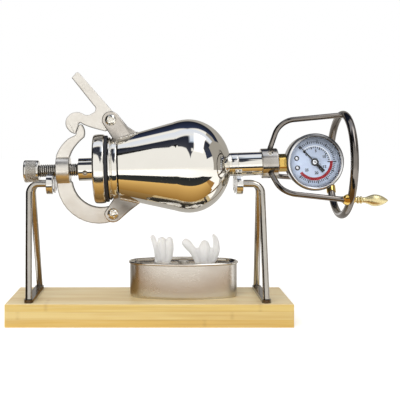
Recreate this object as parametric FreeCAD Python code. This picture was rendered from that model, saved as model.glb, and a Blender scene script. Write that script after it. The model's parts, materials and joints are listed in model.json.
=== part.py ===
"""Hand-cranked popcorn cannon on a bamboo stand, as an assembly of separate pieces.

A steel pressure bottle lies on four roller bearings over a small spirit burner.  A lid is
pressed on its mouth by a screw in a hooked yoke, and a hand wheel with a pressure gauge
turns it.  Millimetres, +Z up, origin at the centre of the board's underside.

The turning half (the rotor) is drawn along its own axis: u runs along the axis towards the
hand wheel and w points up.  rotor() tilts that frame, because the neck is thicker than the
clamp screw and both lie on rollers of one height.
"""
import FreeCAD
import Part
import os
from math import acos, atan2, cos, degrees, pi, radians, sin, sqrt, tan

Vector = FreeCAD.Vector
os.makedirs("parts", exist_ok=True)

# ---- clearances ----
FIT = 0.02            # radial gap of pieces that are pressed or screwed together
RUN = 0.06            # radial gap of a pin or shaft that turns in its bore
ROLL_GAP = 0.2        # gap between a roller and the shaft that it carries
SIDE_GAP = 0.3        # gap beside a plate that swings between two ears
SEAT_GAP = 0.2        # gap between the gasket and the mouth

# ---- board ----
BOARD_LENGTH = 260.0
BOARD_WIDTH = 80.0
BOARD_HEIGHT = 21.0
BOARD_EDGE = 1.0

# ---- stands: two bent rods on a flat foot strip, at each end ----
ROD_RADIUS = 3.0
ROD_BEND = 8.5
STRIP_WIDTH = 8.0
STRIP_THICKNESS = 3.0
FOOT_SPREAD = 33.0           # from the middle to each foot, along Y
LEFT_FOOT_X = -109.3
LEFT_TOP_X = -112.8
RIGHT_FOOT_X = 105.9
RIGHT_TOP_X = 105.0
STAND_SCREW_Y = 20.0
STAND_SCREW_RADIUS = 2.0
STAND_SCREW_HEAD = 4.2
STAND_SCREW_SUNK = 0.8

# ---- roller bearings, 6 x 19 x 6 ----
AXLE_Z = 127.0
AXLE_Y = 9.8
BEARING_RADIUS = 9.5
BEARING_WIDTH = 6.0
INNER_RING_RADIUS = 4.8
OUTER_RING_BORE = 7.6
BALL_RADIUS = 1.7
BALL_COUNT = 7
SHIELD_THICKNESS = 0.4
LEFT_ROLLER_X = -93.0
RIGHT_ROLLER_X = 84.0

# ---- clamp screw, knob, lid ----
SCREW_RADIUS = 6.0
SCREW_PITCH = 2.0
THREAD_DEPTH = 0.65
THREAD_TO_SOCKET = 0.2       # the thread stops short of the lid's socket
JOURNAL_RADIUS = 4.95
JOURNAL_LENGTH = 11.1
JOURNAL_GROOVE = 4.0
KNOB_LENGTH = 13.9
KNOB_RADIUS = 10.65
KNOB_TAPER = 0.7
KNOB_GROOVES = 36
KNOB_SPIGOT = 5.0
KNOB_SPIGOT_LENGTH = 8.0
SOCKET_LENGTH = 14.4
SOCKET_RADIUS = 10.7
LID_RADIUS = 32.9
LID_THICKNESS = 11.1
LID_ROUND = 2.0
GASKET_RADIUS = 31.5
GASKET_BORE = 22.0
GASKET_THICKNESS = 2.6
GRUB_RADIUS = 2.4
GRUB_FROM_EDGE = 6.4         # from the socket's outer edge
GRUB_ANGLE = 16.0            # below the horizontal, at the front

# ---- pressure bottle ----
FLANGE_RADIUS = 29.7
FLANGE_THICKNESS = 9.1
COLLAR_LENGTH = 1.0          # thin collar between the flange and the bottle's cone
FLANGE_ROUND = 1.5
MOUTH_BORE = 24.0
BOTTLE_START = -28.6
BOTTLE_START_RADIUS = 28.85
CONE_END = 23.2
CONE_END_RADIUS = 41.8
BELLY_U = 37.0
BELLY_RADIUS = 44.2
SHOULDER_DEPTH = 40.0
BOTTLE_WALL = 2.5

# ---- neck, loose ring, hub ----
NECK_RADIUS = 11.0
NECK_BORE = 7.0
NECK_RING_WIDTH = 6.4
NECK_RING_WALL = 2.0
HUB_RADIUS = 14.1
SPOKE_U = 113.5              # where the spokes leave the hub
HUB_BEFORE = 8.0             # the hub's length before the spokes
HUB_AFTER = 7.6              # and after them
HUB_SCREW_RADIUS = 2.6
HUB_SCREW_LENGTH = 4.2
HUB_SCREW_SUNK = 1.2
HUB_SCREW_ANGLES = (44.0, 164.0, 284.0)

# ---- hand wheel ----
WHEEL_FROM_SPOKES = 68.7     # along the axis
WHEEL_RADIUS = 47.5
WHEEL_LEAN = 3.2             # degrees: spokes and wheel droop as one, top away from the hub
LEAN_FROM_SPOKES = 4.5       # where the drooping frame crosses the axis
WHEEL_ROD_RADIUS = 3.6
SPOKE_RADIUS = 2.5
SPOKE_BEND = 20.0
SPOKE_IN_HUB = 6.1           # how deep the spoke sits in the hub
SPOKE_CORNER_INSIDE = 7.0    # where it bends, inside the wheel's circle
SPOKE_ROOT_BACK = 1.5        # the spoke leans: its inner end is this far before SPOKE_U
SPOKE_CORNER_ON = 7.9        # and its bend this far after it
SPOKE_ANGLES = (80.0, -40.0, 200.0)   # from the front (-Y) upwards
FERRULE_ANGLE = 213.0
FERRULE_LENGTH = 6.5
FERRULE_WALL = 0.9
EYELET_RADIUS = 6.5
EYELET_BEFORE = 1.6          # its middle is this far before the wheel's plane

# ---- crank grip ----
GRIP_NECK_RADIUS = 3.5
GRIP_NECK_LENGTH = 5.6
GRIP_FROM_WHEEL = 10.8
GRIP_LENGTH = 23.0
GRIP_RADIUS = 5.5
GRIP_PIN_RADIUS = 1.6

# ---- pressure gauge, facing the front ----
GAUGE_FROM_HUB = 33.5        # from the hub's end to the middle of the dial
CASE_RADIUS = 25.2
CASE_WALL = 1.2
CASE_FRONT = -10.0
CASE_BACK = 12.5
BEZEL_RADIUS = 26.7
BEZEL_FRONT = -15.0
BEZEL_BACK = -7.9
BEZEL_WINDOW = 23.5
BEZEL_LIP = 1.4
LENS_THICKNESS = 1.6
DIAL_FRONT = -8.8
DIAL_THICKNESS = 0.8
DIAL_SCREW_AT = ((-16.4, 3.9), (-16.0, -5.0))
DIAL_SCREW_RADIUS = 1.8
POINTER_REST = -42.0             # degrees from straight up, clockwise
POINTER_LENGTH = 21.8
POINTER_TAIL = 12.2
POINTER_TAIL_WIDTH = 3.3
POINTER_TIP_WIDTH = 0.8
POINTER_FRONT = -10.9
POINTER_THICKNESS = 0.5
POINTER_HUB_RADIUS = 2.9
STAFF_RADIUS = 0.7
PINION_RADIUS = 1.5
SECTOR_RADIUS = 9.0
SECTOR_HALF_PLAY = 4.0           # spare degrees at each end of the sector
SECTOR_TURN = 45.0
SECTOR_THICKNESS = 1.2
MOVEMENT_GAP = 3.0
MOVEMENT_PLATE = 1.0
HEX_FROM_HUB = 1.5
HEX_FLATS = 15.5
SOCKET_TUBE_RADIUS = 4.8
TUBE_RING_RADIUS = 19.8
TUBE_HALF_WIDTH = 2.4
TUBE_HALF_THICKNESS = 0.9
TUBE_SWEEP = 235.0
TUBE_BEHIND_MOVEMENT = 3.0   # from the movement's back plate to the tube's middle

# ---- latch lever and yoke ----
LEVER_PIVOT_U = -35.0
LEVER_PIVOT_UP = 45.9
LEVER_EYE = 6.6
YOKE_PIVOT_U = -35.6
YOKE_PIVOT_DOWN = 42.3
PLATE_HALF = 4.0
EAR_THICKNESS = 3.0
EAR_EYE = 8.3
PIVOT_RADIUS = 3.0
PIVOT_HEAD_RADIUS = 5.4
PIVOT_HEAD_HEIGHT = 3.0
PIVOT_NUT_HEIGHT = 4.5
PIVOT_NUT_FLATS = 10.0
BOSS_LENGTH = 12.8
BOSS_TO_SOCKET = 8.2
BOSS_RADIUS = 13.0
KNOB_TO_BOSS = 16.7          # the bare thread between the knob and the yoke's boss
YOKE_CENTRE_BACK = 5.4        # the round arm's centre, from its hinge
YOKE_CENTRE_UP = 34.3
YOKE_INNER = 31.5
YOKE_OUTER = 46.5

# ---- spirit burner ----
TIN_X = 32.1
TIN_HALF_LENGTH = 50.5
TIN_HALF_WIDTH = 22.0
TIN_END_RADIUS = 15.0
TIN_HEIGHT = 33.2
TIN_WALL = 0.8
RIM_PROUD = 1.4
RIM_HEIGHT = 2.4
TOP_SUNK = 2.6
WICK_SPREAD = 19.8
HOLDER_RADIUS = 4.6
HOLDER_FLANGE = 8.5
HOLDER_DEPTH = 12.0
HOLDER_RISE = 2.5
WICK_RADIUS = 3.4
TUFT_RADIUS = 5.6
TUFT_HEIGHT = 7.5
STRAND_RADIUS = 2.5
LEFT_STRANDS = (((-6.2, 14.0), (-9.6, 25.5)), ((-2.4, 12.0), (-2.2, 23.0)),
                ((8.0, 13.0), (6.4, 24.5)))
RIGHT_STRANDS = (((-8.5, 12.5), (-16.0, 20.5)), ((-1.5, 9.0), (-2.0, 18.0)),
                 ((10.5, 12.0), (7.6, 23.5)))
CAP_RADIUS = 5.0
CAP_HEIGHT = 2.2
WADDING_HEIGHT = 12.0

# ---- worked out from the sizes above ----
BOARD_TOP = BOARD_HEIGHT
STRIP_TOP = BOARD_TOP + STRIP_THICKNESS
TIN_TOP = BOARD_TOP + TIN_HEIGHT
TOP_PLATE_Z = TIN_TOP - TOP_SUNK

# places along the rotor's axis, from the bottle outwards to the knob
FLANGE_END = BOTTLE_START - COLLAR_LENGTH
MOUTH_U = FLANGE_END - FLANGE_THICKNESS
LID_END = MOUTH_U - SEAT_GAP - GASKET_THICKNESS
LID_START = LID_END - LID_THICKNESS
SOCKET_START = LID_START - SOCKET_LENGTH
GRUB_U = SOCKET_START + GRUB_FROM_EDGE
THREAD_END = SOCKET_START - THREAD_TO_SOCKET
JOURNAL_END = THREAD_END + JOURNAL_LENGTH
BOSS_END = SOCKET_START - BOSS_TO_SOCKET
BOSS_START = BOSS_END - BOSS_LENGTH
THREAD_START = BOSS_START - KNOB_TO_BOSS
KNOB_START = THREAD_START - KNOB_LENGTH

# and from the bottle outwards to the crank grip
NECK_RING_START = BELLY_U + SHOULDER_DEPTH + 0.2
NECK_RING_END = NECK_RING_START + NECK_RING_WIDTH
NECK_END = SPOKE_U - SPOKE_RADIUS - 2.5
HUB_START = SPOKE_U - HUB_BEFORE
HUB_END = SPOKE_U + HUB_AFTER
HEX_START = HUB_END + HEX_FROM_HUB
GAUGE_U = HUB_END + GAUGE_FROM_HUB
WHEEL_U = SPOKE_U + WHEEL_FROM_SPOKES
SPOKE_ROOT = (SPOKE_U - SPOKE_ROOT_BACK, HUB_RADIUS - SPOKE_IN_HUB)  # (u, distance out)
SPOKE_CORNER = (SPOKE_U + SPOKE_CORNER_ON, WHEEL_RADIUS - SPOKE_CORNER_INSIDE)
SPOKE_REACH = WHEEL_U - SPOKE_RADIUS * 0.72
GRIP_START = WHEEL_U + GRIP_FROM_WHEEL
GRIP_END = GRIP_START + GRIP_LENGTH

LEVER_PIVOT = (LEVER_PIVOT_U, LEVER_PIVOT_UP)
YOKE_PIVOT = (YOKE_PIVOT_U, -YOKE_PIVOT_DOWN)
YOKE_CENTRE = (YOKE_PIVOT_U - YOKE_CENTRE_BACK, YOKE_CENTRE_UP - YOKE_PIVOT_DOWN)


def shaft_height(shaft_radius):
    """Height of a shaft's axis where it lies between two rollers."""
    reach = BEARING_RADIUS + shaft_radius + ROLL_GAP
    return AXLE_Z + sqrt(reach ** 2 - AXLE_Y ** 2)


LEFT_SHAFT_Z = shaft_height(SCREW_RADIUS)
RIGHT_SHAFT_Z = shaft_height(NECK_RADIUS)
TILT = degrees(atan2(RIGHT_SHAFT_Z - LEFT_SHAFT_Z, RIGHT_ROLLER_X - LEFT_ROLLER_X))
AXIS_Z = LEFT_SHAFT_Z - LEFT_ROLLER_X * tan(radians(TILT))

made = []


def save(name, shape):
    """Write one piece as a STEP file."""
    shape.exportStep("parts/%s.step" % name)
    made.append(name)


def rotor(shape):
    """Carry a shape from the rotor's own frame to its place on the rollers."""
    moved = shape.copy()
    moved.rotate(Vector(0, 0, 0), Vector(0, 1, 0), -TILT)
    moved.translate(Vector(0, 0, AXIS_Z))
    return moved


def leaning(shape):
    """Carry a shape of the hand wheel, drawn square to the axis, to its drooping place."""
    moved = shape.copy()
    moved.rotate(Vector(SPOKE_U + LEAN_FROM_SPOKES, 0, 0), Vector(0, 1, 0), WHEEL_LEAN)
    return moved


# ---- shape helpers ----
def flat(point):
    """A point (u, w) of an outline in the middle plane."""
    return Vector(point[0], 0, point[1])


def outline(start, *steps):
    """Closed face: each step is a point (a line to it) or a (via, end) pair (an arc)."""
    edges = []
    here = start
    for step in steps:
        if isinstance(step[0], tuple):
            via, end = step
            edges.append(Part.Arc(flat(here), flat(via), flat(end)).toShape())
        else:
            end = step
            edges.append(Part.makeLine(flat(here), flat(end)))
        here = end
    if here != start:
        edges.append(Part.makeLine(flat(here), flat(start)))
    return Part.Face(Part.Wire(edges))


def plate(face, y_from, y_to):
    """A flat plate from an outline, between two depths along Y."""
    solid = face.extrude(Vector(0, y_to - y_from, 0))
    solid.translate(Vector(0, y_from, 0))
    return solid


def turned(face):
    """A piece turned about the rotor's axis from its half profile."""
    return face.revolve(Vector(0, 0, 0), Vector(1, 0, 0), 360)


def bar(radius, u_from, u_to, y=0.0, w=0.0):
    """A round bar along u."""
    return Part.makeCylinder(radius, u_to - u_from, Vector(u_from, y, w), Vector(1, 0, 0))


def tube(inner, outer, u_from, u_to, y=0.0, w=0.0):
    """A round tube along u."""
    return bar(outer, u_from, u_to, y, w).cut(bar(inner, u_from - 1, u_to + 1, y, w))


def pin(radius, y_from, y_to, u=0.0, w=0.0):
    """A round pin along Y."""
    return Part.makeCylinder(radius, y_to - y_from, Vector(u, y_from, w), Vector(0, 1, 0))


def hexagon(flats, length, base, direction, turn=0.0):
    """A hexagonal bar from a base point along X or Y."""
    radius = flats / sqrt(3)
    corners = []
    for side in range(7):
        angle = radians(60 * side + turn)
        across, up = radius * cos(angle), radius * sin(angle)
        offset = Vector(0, across, up) if direction.x else Vector(across, 0, up)
        corners.append(base + offset)
    return Part.Face(Part.makePolygon(corners)).extrude(direction * length)


def bent_rod(points, radius, bend):
    """A round rod along straight runs, joined at their corners by tangent arcs."""
    edges = []
    here = points[0]
    for before, corner, after in zip(points, points[1:], points[2:]):
        towards = (corner - before).normalize()
        away = (after - corner).normalize()
        turn = acos(towards.dot(away))
        reach = bend * tan(turn / 2)
        enter = corner - towards * reach
        leave = corner + away * reach
        inward = (away - towards).normalize()
        centre = corner + inward * (bend / cos(turn / 2))
        middle = centre - inward * bend
        edges.append(Part.makeLine(here, enter))
        edges.append(Part.Arc(enter, middle, leave).toShape())
        here = leave
    edges.append(Part.makeLine(here, points[-1]))
    path = Part.Wire(edges)
    direction = (points[1] - points[0]).normalize()
    section = Part.Wire([Part.makeCircle(radius, points[0], direction)])
    return path.makePipeShell([section], True, True)


def around(angle, u, reach):
    """A point of the rotor at an angle from the front upwards, and a distance out."""
    return Vector(u, -reach * cos(radians(angle)), reach * sin(radians(angle)))


# ---- board and stands ----
def base_board():
    board = Part.makeBox(BOARD_LENGTH, BOARD_WIDTH, BOARD_HEIGHT,
                         Vector(-BOARD_LENGTH / 2, -BOARD_WIDTH / 2, 0))
    top_edges = [edge for edge in board.Edges if edge.BoundBox.ZMax > BOARD_HEIGHT - 0.01]
    board = board.makeFillet(BOARD_EDGE, top_edges)
    for x in (LEFT_FOOT_X, RIGHT_FOOT_X):
        for y in (-STAND_SCREW_Y, STAND_SCREW_Y):
            board = board.cut(stand_screw(x, y, FIT, STAND_SCREW_SUNK))
    return board


def stand_screw(x, y, gap=0.0, sunk=0.0):
    """A countersunk screw from below, or its hole if a gap is given."""
    head_z = STAND_SCREW_SUNK - sunk
    cone_z = STAND_SCREW_SUNK + STAND_SCREW_HEAD - STAND_SCREW_RADIUS
    wide, narrow = STAND_SCREW_HEAD + gap, STAND_SCREW_RADIUS + gap
    head = Part.makeCone(wide, narrow, cone_z - STAND_SCREW_SUNK, Vector(x, y, STAND_SCREW_SUNK))
    shank = Part.makeCylinder(narrow, STRIP_TOP - 0.4 + gap - cone_z, Vector(x, y, cone_z))
    screw = head.fuse(shank)
    if sunk:
        screw = screw.fuse(Part.makeCylinder(wide, sunk, Vector(x, y, head_z)))
    else:
        slot = Part.makeBox(5.0, 1.0, 1.2, Vector(x - 2.5, y - 0.5, head_z))
        screw = screw.cut(slot)
    return screw


def foot_strip(x):
    reach = FOOT_SPREAD + ROD_RADIUS + 1.0
    strip = Part.makeBox(STRIP_WIDTH, 2 * reach, STRIP_THICKNESS,
                         Vector(x - STRIP_WIDTH / 2, -reach, BOARD_TOP))
    upright = [edge for edge in strip.Edges if edge.BoundBox.ZLength > STRIP_THICKNESS - 0.01]
    strip = strip.makeFillet(STRIP_WIDTH * 0.45, upright)
    for y in (-STAND_SCREW_Y, STAND_SCREW_Y):
        strip = strip.cut(stand_screw(x, y, FIT))
    return strip


def stand_leg(foot_x, top_x, roller_x, side):
    """A rod that stands on the strip, leans in and bends over into the bearing's axle."""
    inner_face = roller_x + (BEARING_WIDTH / 2 if roller_x > foot_x else -BEARING_WIDTH / 2)
    foot = Vector(foot_x, side * FOOT_SPREAD, STRIP_TOP)
    top = Vector(top_x, side * AXLE_Y, AXLE_Z)
    below = foot + (foot - top).normalize() * (2 * ROD_RADIUS)
    rod = bent_rod([below, top, Vector(inner_face, side * AXLE_Y, AXLE_Z)], ROD_RADIUS, ROD_BEND)
    reach = 4 * ROD_RADIUS
    under = Part.makeBox(2 * reach, 2 * reach, reach,
                         Vector(foot_x - reach, side * FOOT_SPREAD - reach, STRIP_TOP - reach))
    return rod.cut(under)


# ---- roller bearings ----
BALL_TRACK = (INNER_RING_RADIUS + OUTER_RING_BORE) / 2
BEARINGS = {
    "left_front": (LEFT_ROLLER_X, -AXLE_Y),
    "left_back": (LEFT_ROLLER_X, AXLE_Y),
    "right_front": (RIGHT_ROLLER_X, -AXLE_Y),
    "right_back": (RIGHT_ROLLER_X, AXLE_Y),
}


def ball_groove(x, y):
    return Part.makeTorus(BALL_TRACK, BALL_RADIUS + 2 * RUN, Vector(x, y, AXLE_Z), Vector(1, 0, 0))


def inner_ring(x, y):
    ring = tube(ROD_RADIUS + FIT, INNER_RING_RADIUS, x - BEARING_WIDTH / 2,
                x + BEARING_WIDTH / 2, y, AXLE_Z)
    return ring.cut(ball_groove(x, y))


def roller(x, y):
    """The outer ring with a shield pressed in at each side; it turns as one roller."""
    half = BEARING_WIDTH / 2
    ring = tube(OUTER_RING_BORE, BEARING_RADIUS, x - half, x + half, y, AXLE_Z)
    rims = [edge for edge in ring.Edges if abs(edge.Length - 2 * pi * BEARING_RADIUS) < 0.01]
    ring = ring.makeChamfer(0.3, rims).cut(ball_groove(x, y))
    for start in (x - half + 0.3, x + half - 0.3 - SHIELD_THICKNESS):
        shield = tube(INNER_RING_RADIUS + 0.25, OUTER_RING_BORE, start,
                      start + SHIELD_THICKNESS, y, AXLE_Z)
        ring = ring.fuse(shield)
    return ring


def balls():
    every = []
    for x, y in BEARINGS.values():
        for number in range(BALL_COUNT):
            angle = 2 * pi * number / BALL_COUNT
            centre = Vector(x, y + BALL_TRACK * cos(angle), AXLE_Z + BALL_TRACK * sin(angle))
            every.append(Part.makeSphere(BALL_RADIUS, centre))
    return Part.makeCompound(every)


# ---- pressure bottle, neck, hub ----
def shoulder(thickness, end_radius):
    """Elliptic shoulder from the belly down to the neck, and its end point (u, r)."""
    up, along = BELLY_RADIUS - thickness, SHOULDER_DEPTH - thickness
    centre = Vector(BELLY_U, 0, 0)
    ellipse = Part.Ellipse(centre + Vector(0, 0, up), centre + Vector(along, 0, 0), centre)
    last = acos(end_radius / up)
    arc = Part.ArcOfEllipse(ellipse, 0, last).toShape()
    return arc, (BELLY_U + along * sin(last), end_radius)


def belly_via(thickness):
    """The middle of the arc that blends the cone into the belly."""
    middle_u = (CONE_END + BELLY_U) / 2
    drop = (BELLY_RADIUS - CONE_END_RADIUS) * 0.27
    return (middle_u, BELLY_RADIUS - drop - thickness)


def bottle_face(hole_radius, solid=False):
    """Half profile of the bottle's wall, or of its whole outer form."""
    outer_arc, outer_end = shoulder(0.0, hole_radius)
    start = (BOTTLE_START, BOTTLE_START_RADIUS)
    cone = (CONE_END, CONE_END_RADIUS)
    belly = (BELLY_U, BELLY_RADIUS)
    edges = [Part.makeLine(flat(start), flat(cone)),
             Part.Arc(flat(cone), flat(belly_via(0.0)), flat(belly)).toShape(),
             outer_arc]
    if solid:
        axis_end, axis_start = (outer_end[0], 0), (BOTTLE_START, 0)
        edges += [Part.makeLine(flat(outer_end), flat(axis_end)),
                  Part.makeLine(flat(axis_end), flat(axis_start)),
                  Part.makeLine(flat(axis_start), flat(start))]
        return Part.Face(Part.Wire(edges))
    wall = BOTTLE_WALL
    inner_arc, inner_end = shoulder(wall, hole_radius)
    inner_belly = (BELLY_U, BELLY_RADIUS - wall)
    inner_cone = (CONE_END, CONE_END_RADIUS - wall)
    inner_start = (BOTTLE_START, BOTTLE_START_RADIUS - wall)
    edges += [Part.makeLine(flat(outer_end), flat(inner_end)),
              inner_arc,
              Part.Arc(flat(inner_belly), flat(belly_via(wall)), flat(inner_cone)).toShape(),
              Part.makeLine(flat(inner_cone), flat(inner_start)),
              Part.makeLine(flat(inner_start), flat(start))]
    return Part.Face(Part.Wire(Part.__sortEdges__(edges)))


def pressure_bottle():
    return turned(bottle_face(NECK_RADIUS + FIT))


def bottle_form():
    """The bottle and its mouth flange as one full form, to seat the ears on."""
    form = turned(bottle_face(NECK_RADIUS, solid=True))
    return form.fuse(bar(FLANGE_RADIUS, MOUTH_U, FLANGE_END)).fuse(
        bar(BOTTLE_START_RADIUS, FLANGE_END - 0.5, BOTTLE_START + 0.5))


def mouth_flange():
    """The thick lip round the mouth, with a rounded edge and a thin collar behind it."""
    lip = bar(FLANGE_RADIUS, MOUTH_U, FLANGE_END)
    rims = [edge for edge in lip.Edges if abs(edge.Length - 2 * pi * FLANGE_RADIUS) < 0.01]
    lip = lip.makeFillet(FLANGE_ROUND, rims)
    collar = bar(BOTTLE_START_RADIUS, FLANGE_END - 0.5, BOTTLE_START)
    return lip.fuse(collar).cut(bar(MOUTH_BORE, MOUTH_U - 1, BOTTLE_START + 1))


def neck_tube():
    """The tube behind the bottle, with a groove for the loose ring."""
    _, inner_end = shoulder(BOTTLE_WALL, NECK_RADIUS)
    neck = tube(NECK_BORE, NECK_RADIUS, inner_end[0] - 0.8, NECK_END)
    groove = tube(NECK_RADIUS - NECK_RING_WALL, NECK_RADIUS + 1,
                  NECK_RING_START - RUN, NECK_RING_END + RUN)
    return neck.cut(groove)


def neck_ring():
    return tube(NECK_RADIUS - NECK_RING_WALL + RUN, NECK_RADIUS, NECK_RING_START, NECK_RING_END)


def hub_collar():
    """The collar that joins neck, spokes and gauge."""
    hub = bar(HUB_RADIUS, HUB_START, HUB_END)
    rims = [edge for edge in hub.Edges if abs(edge.Length - 2 * pi * HUB_RADIUS) < 0.01]
    hub = hub.makeFillet(1.0, rims)
    hub = hub.cut(bar(NECK_RADIUS + FIT, HUB_START - 1, NECK_END + FIT))
    hub = hub.cut(bar(SOCKET_TUBE_RADIUS + FIT, HUB_START - 1, HUB_END + 1))
    for angle in SPOKE_ANGLES:
        root, out = spoke_line(angle)
        hub = hub.cut(leaning(Part.makeCylinder(SPOKE_RADIUS + FIT, 20, root, out)))
    for angle in HUB_SCREW_ANGLES:
        hole_start = around(angle, SPOKE_U, HUB_RADIUS - HUB_SCREW_SUNK - HUB_SCREW_LENGTH)
        hub = hub.cut(Part.makeCylinder(HUB_SCREW_RADIUS + FIT, HUB_RADIUS, hole_start,
                                        around(angle, 0, 1)))
    return hub


def hub_set_screws():
    """Cup-ended set screws with a hexagon socket."""
    every = []
    outer_end = HUB_RADIUS - HUB_SCREW_SUNK
    for angle in HUB_SCREW_ANGLES:
        out = around(angle, 0, 1)
        screw = Part.makeCylinder(HUB_SCREW_RADIUS, HUB_SCREW_LENGTH,
                                  around(angle, SPOKE_U, outer_end - HUB_SCREW_LENGTH), out)
        recess = Part.makeCylinder(HUB_SCREW_RADIUS * 0.54, HUB_SCREW_LENGTH * 0.45,
                                   around(angle, SPOKE_U, outer_end - HUB_SCREW_LENGTH * 0.4), out)
        every.append(screw.cut(recess))
    return Part.makeCompound(every)


# ---- hand wheel ----
def spoke_line(angle):
    """The root of a spoke and its direction out of the hub."""
    root = around(angle, *SPOKE_ROOT)
    corner = around(angle, *SPOKE_CORNER)
    return root, (corner - root).normalize()


def spoke(angle, to_eyelet=False):
    root, _ = spoke_line(angle)
    corner = around(angle, *SPOKE_CORNER)
    tip = around(angle, SPOKE_REACH, WHEEL_RADIUS)
    rod = bent_rod([root, corner, tip], SPOKE_RADIUS, SPOKE_BEND)
    return rod.cut(eyelet_ball() if to_eyelet else wheel_torus(FIT))


def wheel_torus(gap=0.0):
    return Part.makeTorus(WHEEL_RADIUS, WHEEL_ROD_RADIUS + gap, Vector(WHEEL_U, 0, 0),
                          Vector(1, 0, 0))


def eyelet_ball():
    centre = around(SPOKE_ANGLES[1], WHEEL_U - EYELET_BEFORE, WHEEL_RADIUS)
    return Part.makeSphere(EYELET_RADIUS, centre)


def handle_eyelet():
    """A brass ball threaded on the wheel, bored for the crank pin."""
    _, y, w = around(SPOKE_ANGLES[1], WHEEL_U, WHEEL_RADIUS)
    ball = eyelet_ball().cut(wheel_torus(FIT))
    return ball.cut(bar(GRIP_PIN_RADIUS + FIT, WHEEL_U + WHEEL_ROD_RADIUS, GRIP_START, y, w))


def grip_place():
    """The middle of the grip, across the axis."""
    centre = around(SPOKE_ANGLES[1], WHEEL_U, WHEEL_RADIUS)
    return centre.y, centre.z


def handle_neck():
    """A beaded spacer between the eyelet and the grip."""
    y, w = grip_place()
    start = GRIP_START - RUN * 4 - GRIP_NECK_LENGTH
    pieces = [bar(GRIP_NECK_RADIUS * 0.75, start - 2.0, start + GRIP_NECK_LENGTH, y, w)]
    step = GRIP_NECK_LENGTH / 2
    for number in range(2):
        bead = Part.makeTorus(GRIP_NECK_RADIUS - step / 2, step / 2 - 0.05,
                              Vector(start + step * (number + 0.5), y, w), Vector(1, 0, 0))
        pieces.append(bead)
    neck = pieces[0].fuse(pieces[1:])
    neck = neck.cut(eyelet_ball())
    return neck.cut(bar(GRIP_PIN_RADIUS + FIT, start - 3, GRIP_START, y, w))


def handle_pin():
    """The steel pin in the eyelet, with a washer head buried in the grip."""
    y, w = grip_place()
    return bar(GRIP_PIN_RADIUS, WHEEL_U + WHEEL_ROD_RADIUS + 0.2, GRIP_END - 6.0, y, w)


def handle_grip():
    """A brass spindle that turns on the pin: swollen, then drawn to a point."""
    y, w = grip_place()
    length = GRIP_END - GRIP_START
    start = (GRIP_START, 3.2)
    shoulder_end = (GRIP_START + length * 0.32, GRIP_RADIUS)
    tip = (GRIP_END, 0.9)
    profile = outline((GRIP_START, 0.0), start,
                      ((GRIP_START + length * 0.12, GRIP_RADIUS - 0.9), shoulder_end),
                      ((GRIP_START + length * 0.7, GRIP_RADIUS * 0.66), tip),
                      (GRIP_END, 0.0))
    grip = turned(profile)
    grip.translate(Vector(0, y, w))
    return grip.cut(bar(GRIP_PIN_RADIUS + RUN, GRIP_START - 1, GRIP_END - 5.5, y, w))


def ring_ferrule():
    """A short brass sleeve over the joint of the wheel's rod."""
    centre = around(FERRULE_ANGLE, WHEEL_U, WHEEL_RADIUS)
    along = Vector(1, 0, 0).cross(around(FERRULE_ANGLE, 0, 1))
    start = centre - along * (FERRULE_LENGTH / 2)
    sleeve = Part.makeCylinder(WHEEL_ROD_RADIUS + FERRULE_WALL, FERRULE_LENGTH, start, along)
    return sleeve.cut(wheel_torus(FIT))


# ---- lid, screw, knob ----
def lid_plate():
    lid = bar(LID_RADIUS, LID_START, LID_END)
    rims = [edge for edge in lid.Edges if abs(edge.Length - 2 * pi * LID_RADIUS) < 0.01]
    return lid.makeFillet(LID_ROUND, rims)


def lid_gasket():
    return tube(GASKET_BORE, GASKET_RADIUS, LID_END, MOUTH_U - SEAT_GAP)


def lid_socket():
    """The cup on the lid that holds the screw's tip; a grub screw keeps the tip in."""
    cup = bar(SOCKET_RADIUS, SOCKET_START, LID_START)
    cup = cup.cut(bar(JOURNAL_RADIUS + RUN, SOCKET_START - 1, JOURNAL_END + 0.5))
    out = around(-GRUB_ANGLE, 0, 1)
    return cup.cut(Part.makeCylinder(GRUB_RADIUS + FIT, 20, Vector(GRUB_U, 0, 0), out))


def grub_screw():
    out = around(-GRUB_ANGLE, 0, 1)
    start = around(-GRUB_ANGLE, GRUB_U, JOURNAL_GROOVE + 0.25)
    reach = SOCKET_RADIUS - JOURNAL_GROOVE - 1.0
    screw = Part.makeCylinder(GRUB_RADIUS, reach, start, out)
    recess = Part.makeCylinder(1.3, 2.2, start + out * (reach - 2.0), out)
    return screw.cut(recess)


def clamp_screw():
    """Threaded rod (drawn as rings) with a spigot for the knob and a grooved tip."""
    turns = int((THREAD_END - THREAD_START) / SCREW_PITCH)
    root = SCREW_RADIUS - THREAD_DEPTH
    steps = [(THREAD_START, root)]
    for turn in range(turns):
        foot = THREAD_START + turn * SCREW_PITCH
        steps.append((foot + SCREW_PITCH * 0.38, SCREW_RADIUS))
        steps.append((foot + SCREW_PITCH * 0.62, SCREW_RADIUS))
        steps.append((foot + SCREW_PITCH, root))
    groove_half = GRUB_RADIUS + 0.2
    steps += [(THREAD_END, root), (THREAD_END, JOURNAL_RADIUS),
              (GRUB_U - groove_half, JOURNAL_RADIUS), (GRUB_U - groove_half, JOURNAL_GROOVE),
              (GRUB_U + groove_half, JOURNAL_GROOVE), (GRUB_U + groove_half, JOURNAL_RADIUS),
              (JOURNAL_END, JOURNAL_RADIUS), (JOURNAL_END, 0.0)]
    spigot_start = THREAD_START - KNOB_SPIGOT_LENGTH
    steps = [(spigot_start, KNOB_SPIGOT), (THREAD_START, KNOB_SPIGOT)] + steps
    return turned(outline((spigot_start, 0.0), *steps))


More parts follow.
